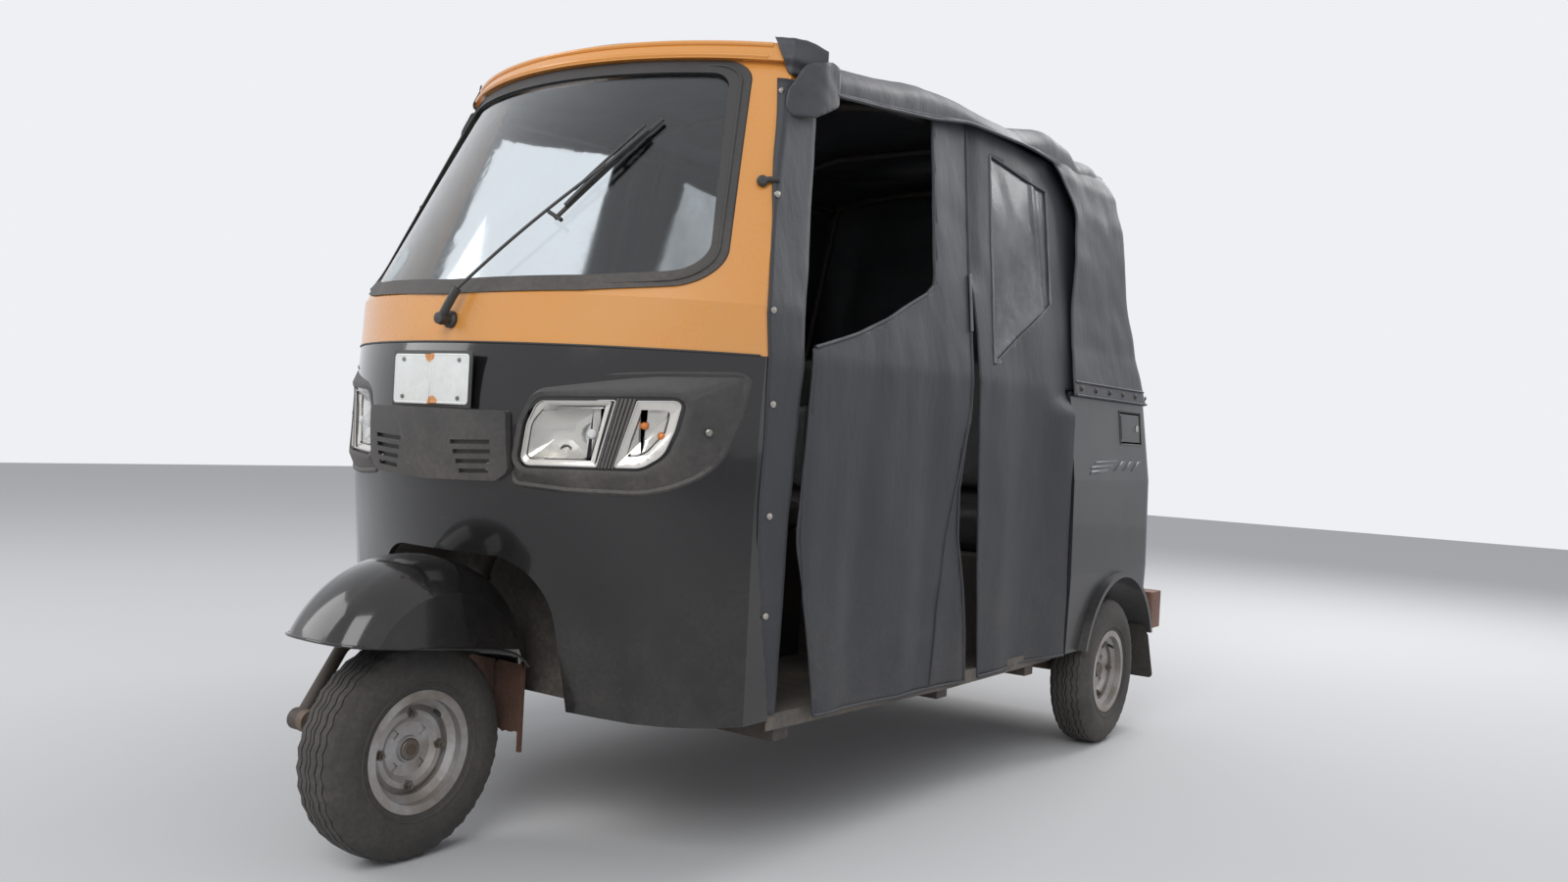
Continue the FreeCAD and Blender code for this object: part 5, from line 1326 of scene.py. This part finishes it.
def swollen(made, cap):
    start = [vert.co.copy() for vert in made.data.vertices]
    cloth = made.modifiers.new("foam", "CLOTH")
    settings = cloth.settings
    settings.quality = 5
    settings.mass = 0.3
    settings.tension_stiffness = 25
    settings.compression_stiffness = 25
    settings.use_pressure = True
    settings.uniform_pressure_force = 4.0
    settings.effector_weights.gravity = 0.0
    for step in range(1, 21):
        scene.frame_set(step)
    grown_mesh = made.evaluated_get(bpy.context.evaluated_depsgraph_get()).data
    ends = [vert.co.copy() for vert in grown_mesh.vertices]
    for vert, before, after in zip(made.data.vertices, start, ends):
        move = after - before
        if move.length > cap:
            move *= cap / move.length
        vert.co = before + move
    made.modifiers.remove(cloth)
    scene.frame_set(1)


LEAN = {"bench_backrest": 0.041}
for name, low, high, channels, down in CUSHIONS:
    low, high, down = Vector(low), Vector(high), Vector(down)
    bm = bmesh.new()
    inner = (high - low) - Vector((SWELL_CAP, SWELL_CAP, SWELL_CAP))
    add_box(bm, (low + high) / 2, inner)
    bevelled(bm, bm.edges[:], min(inner) * 0.28, 4, clamp_overlap=True)
    pad = piece(bm, name, "body", seat_vinyl, smooth=80)
    remesh = pad.modifiers.new("skin", "REMESH")
    remesh.mode = "VOXEL"
    remesh.voxel_size = 0.008 if "driver" in name else 0.011
    skinned = pad.evaluated_get(bpy.context.evaluated_depsgraph_get())
    fine_mesh = bpy.data.meshes.new_from_object(skinned)
    pad.modifiers.remove(remesh)
    pad.data = fine_mesh
    swollen(pad, SWELL_CAP)
    top = -down
    for vert in pad.data.vertices:
        rise = between(0.35, 0.9, (vert.co.dot(top) - low.dot(top)) / (high - low).dot(top))
        for x in channels:
            near = math.exp(-(((vert.co.x - x) / CHANNEL_HALF) ** 2)) * rise
            vert.co -= top * CHANNEL_DEEP * near
        for axis in range(3):
            vert.co[axis] = min(max(vert.co[axis], low[axis]), high[axis])
        if name in LEAN:
            vert.co.y += LEAN[name] * (vert.co.z - low.z)
    pad.data.shade_smooth()
    sub = pad.modifiers.new("soft", "SUBSURF")
    sub.levels = sub.render_levels = 1
    if name == "driver_cushion":
        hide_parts("driver_seat")
    if name == "bench_cushion":
        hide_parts("passenger_seat")


# Rear body: a steel box in duller black gloss, with flared wheel arches, silver-grey stripes
# of film, a fuel lid on the left with its own latch, and a hinged engine door at the back.
body_black = finish("weathered black paint", (0.010, 0.011, 0.013), (0.022, 0.023, 0.027), 0.36,
    coat=0.12, patch=(2.5, 1.6), dusty=(0.25, 0.75, 0.28, 0.015), dust_color=(0.22, 0.20, 0.18),
    skin=(900.0, 0.6, 0.03), scored=0.12)
dress(body_black, "rear_body", "engine_door", "fuel_lid")
stripe_film = finish("silver stripe film", (0.17, 0.175, 0.19), (0.11, 0.11, 0.12), 0.4, metallic=0.3,
    patch=(30.0, 2.0))
STRIPE_OUT = 0.0008
# one thin bar a row: front y and height, rear y and height, width
BARS = ((0.695, 0.776, 0.835, 0.784, 0.010), (0.702, 0.791, 0.872, 0.800, 0.0075),
    (0.732, 0.806, 0.905, 0.8135, 0.0065))
# one slanted bar a row: foot y, top y, width; they lean to the rear
SLANTS = ((0.878, 0.948, 0.036), (0.948, 1.014, 0.034), (1.020, 1.083, 0.028))
SLANT_LOW, SLANT_HIGH = 0.787, 0.8155


def body_side(z):
    return 0.645 - 0.005 * (z - 0.5) / 0.26 if z < 0.76 else 0.640 - 0.026 * (z - 0.76) / 0.24


bm = bmesh.new()
for side in (1, -1):
    bars = []
    for y0, z0, y1, z1, wide in BARS:
        bars.append(((y0, z0), (y1, z1), (y1 + 0.006, z1 + wide), (y0 + 0.012, z0 + wide)))
    for y0, y1, wide in SLANTS:
        bars.append(((y0, SLANT_LOW), (y0 + wide, SLANT_LOW + 0.003), (y1 + wide, SLANT_HIGH + 0.003),
            (y1, SLANT_HIGH)))
    for bar in bars:
        bm.faces.new([bm.verts.new((side * (body_side(z) + STRIPE_OUT), y, z)) for y, z in bar])
film = piece(bm, "body_side_stripes", "body", stripe_film)
film.modifiers.new("film", "SOLIDIFY").thickness = 0.0004

# lid frame and latch: the frame is on the body, the latch rides on the lid
LID_Y0, LID_Y1, LID_Z0, LID_Z1 = 0.948, 1.122, 0.866, 0.964
bm = bmesh.new()
frame_line = ((LID_Y0, LID_Z0), (LID_Y1, LID_Z0), (LID_Y1, LID_Z1), (LID_Y0, LID_Z1))
add_bar(bm, [(body_side(z) + 0.0005, y, z) for y, z in frame_line], 0.0020, closed=True, corners=True)
piece(bm, "fuel_lid_frame", "body", moulded)
bm = bmesh.new()
at = Vector((body_side(0.915) + 0.0005, 1.092, 0.915))
add_turned(bm, [(0, 0), (0, 0.0100), (0.0020, 0.0095), (0.0030, 0.0060), (0.0030, 0)], at, (1, 0, 0),
    steps=24)
add_box(bm, at + Vector((0.0038, 0, 0)), (0.0024, 0.003, 0.012))
piece(bm, "fuel_lid_latch", "fuel_lid", rim_pale)

bm = bmesh.new()
bevelled(bm, add_box(bm, (0, 1.2525, 0.500), (0.070, 0.006, 0.024)), 0.002, 2)
piece(bm, "engine_door_latch", "engine_door", moulded)


# Tail lamps, bumper and mudflaps: red lenses in black rims on the corners, a painted steel
# channel bumper whose orange has faded, and plain rubber flaps behind the wheels.
tail_red = finish("tail lamp red", (0.42, 0.012, 0.010), (0.30, 0.010, 0.010), 0.16, coat=0.8,
    patch=(14.0, 1.6), dusty=(0.5, 0.9, 0.3, 0.05))
dress(tail_red, "tail_lamps")
bumper_orange = finish("faded bumper orange", (0.21, 0.075, 0.038), (0.12, 0.050, 0.034), 0.6,
    patch=(6.0, 2.6), dusty=(0.28, 0.45, 0.5, 0.12), skin=(260.0, 0.5, 0.12), scored=0.3)
dress(bumper_orange, "rear_bumper")
flap_rubber = finish("flap rubber", (0.012, 0.012, 0.013), (0.03, 0.028, 0.027), 0.8, patch=(6.0, 2.0),
    dusty=(0.1, 0.45, 0.25, 0.04), skin=(300.0, 0.6, 0.3))
dress(flap_rubber, "rear_mudflaps")
LAMP_X0, LAMP_X1, LAMP_Z0, LAMP_Z1, LAMP_Y = 0.430, 0.536, 0.566, 0.742, 1.2745
bm = bmesh.new()
rim_line = rounded([(x, z, 0.014) for x, z in ((LAMP_X0, LAMP_Z0), (LAMP_X1, LAMP_Z0),
    (LAMP_X1, LAMP_Z1), (LAMP_X0, LAMP_Z1))])
for side in (1, -1):
    add_bar(bm, [(side * point.x, LAMP_Y - 0.003, point.y) for point in rim_line], 0.0035, closed=True,
        corners=True)
    for z in (0.625, 0.684):
        add_bar(bm, [(side * x, LAMP_Y - 0.001, z) for x in (LAMP_X0 + 0.003, LAMP_X1 - 0.003)], 0.0022)
piece(bm, "tail_lamp_rims", "body", moulded)


# The visible model's size beside the CAD model's, both measured before and after this script.
def corners(box):
    return [[round(part, 5) for part in corner] for corner in box]


{"cad": corners(cad_box), "visual": corners(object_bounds())}
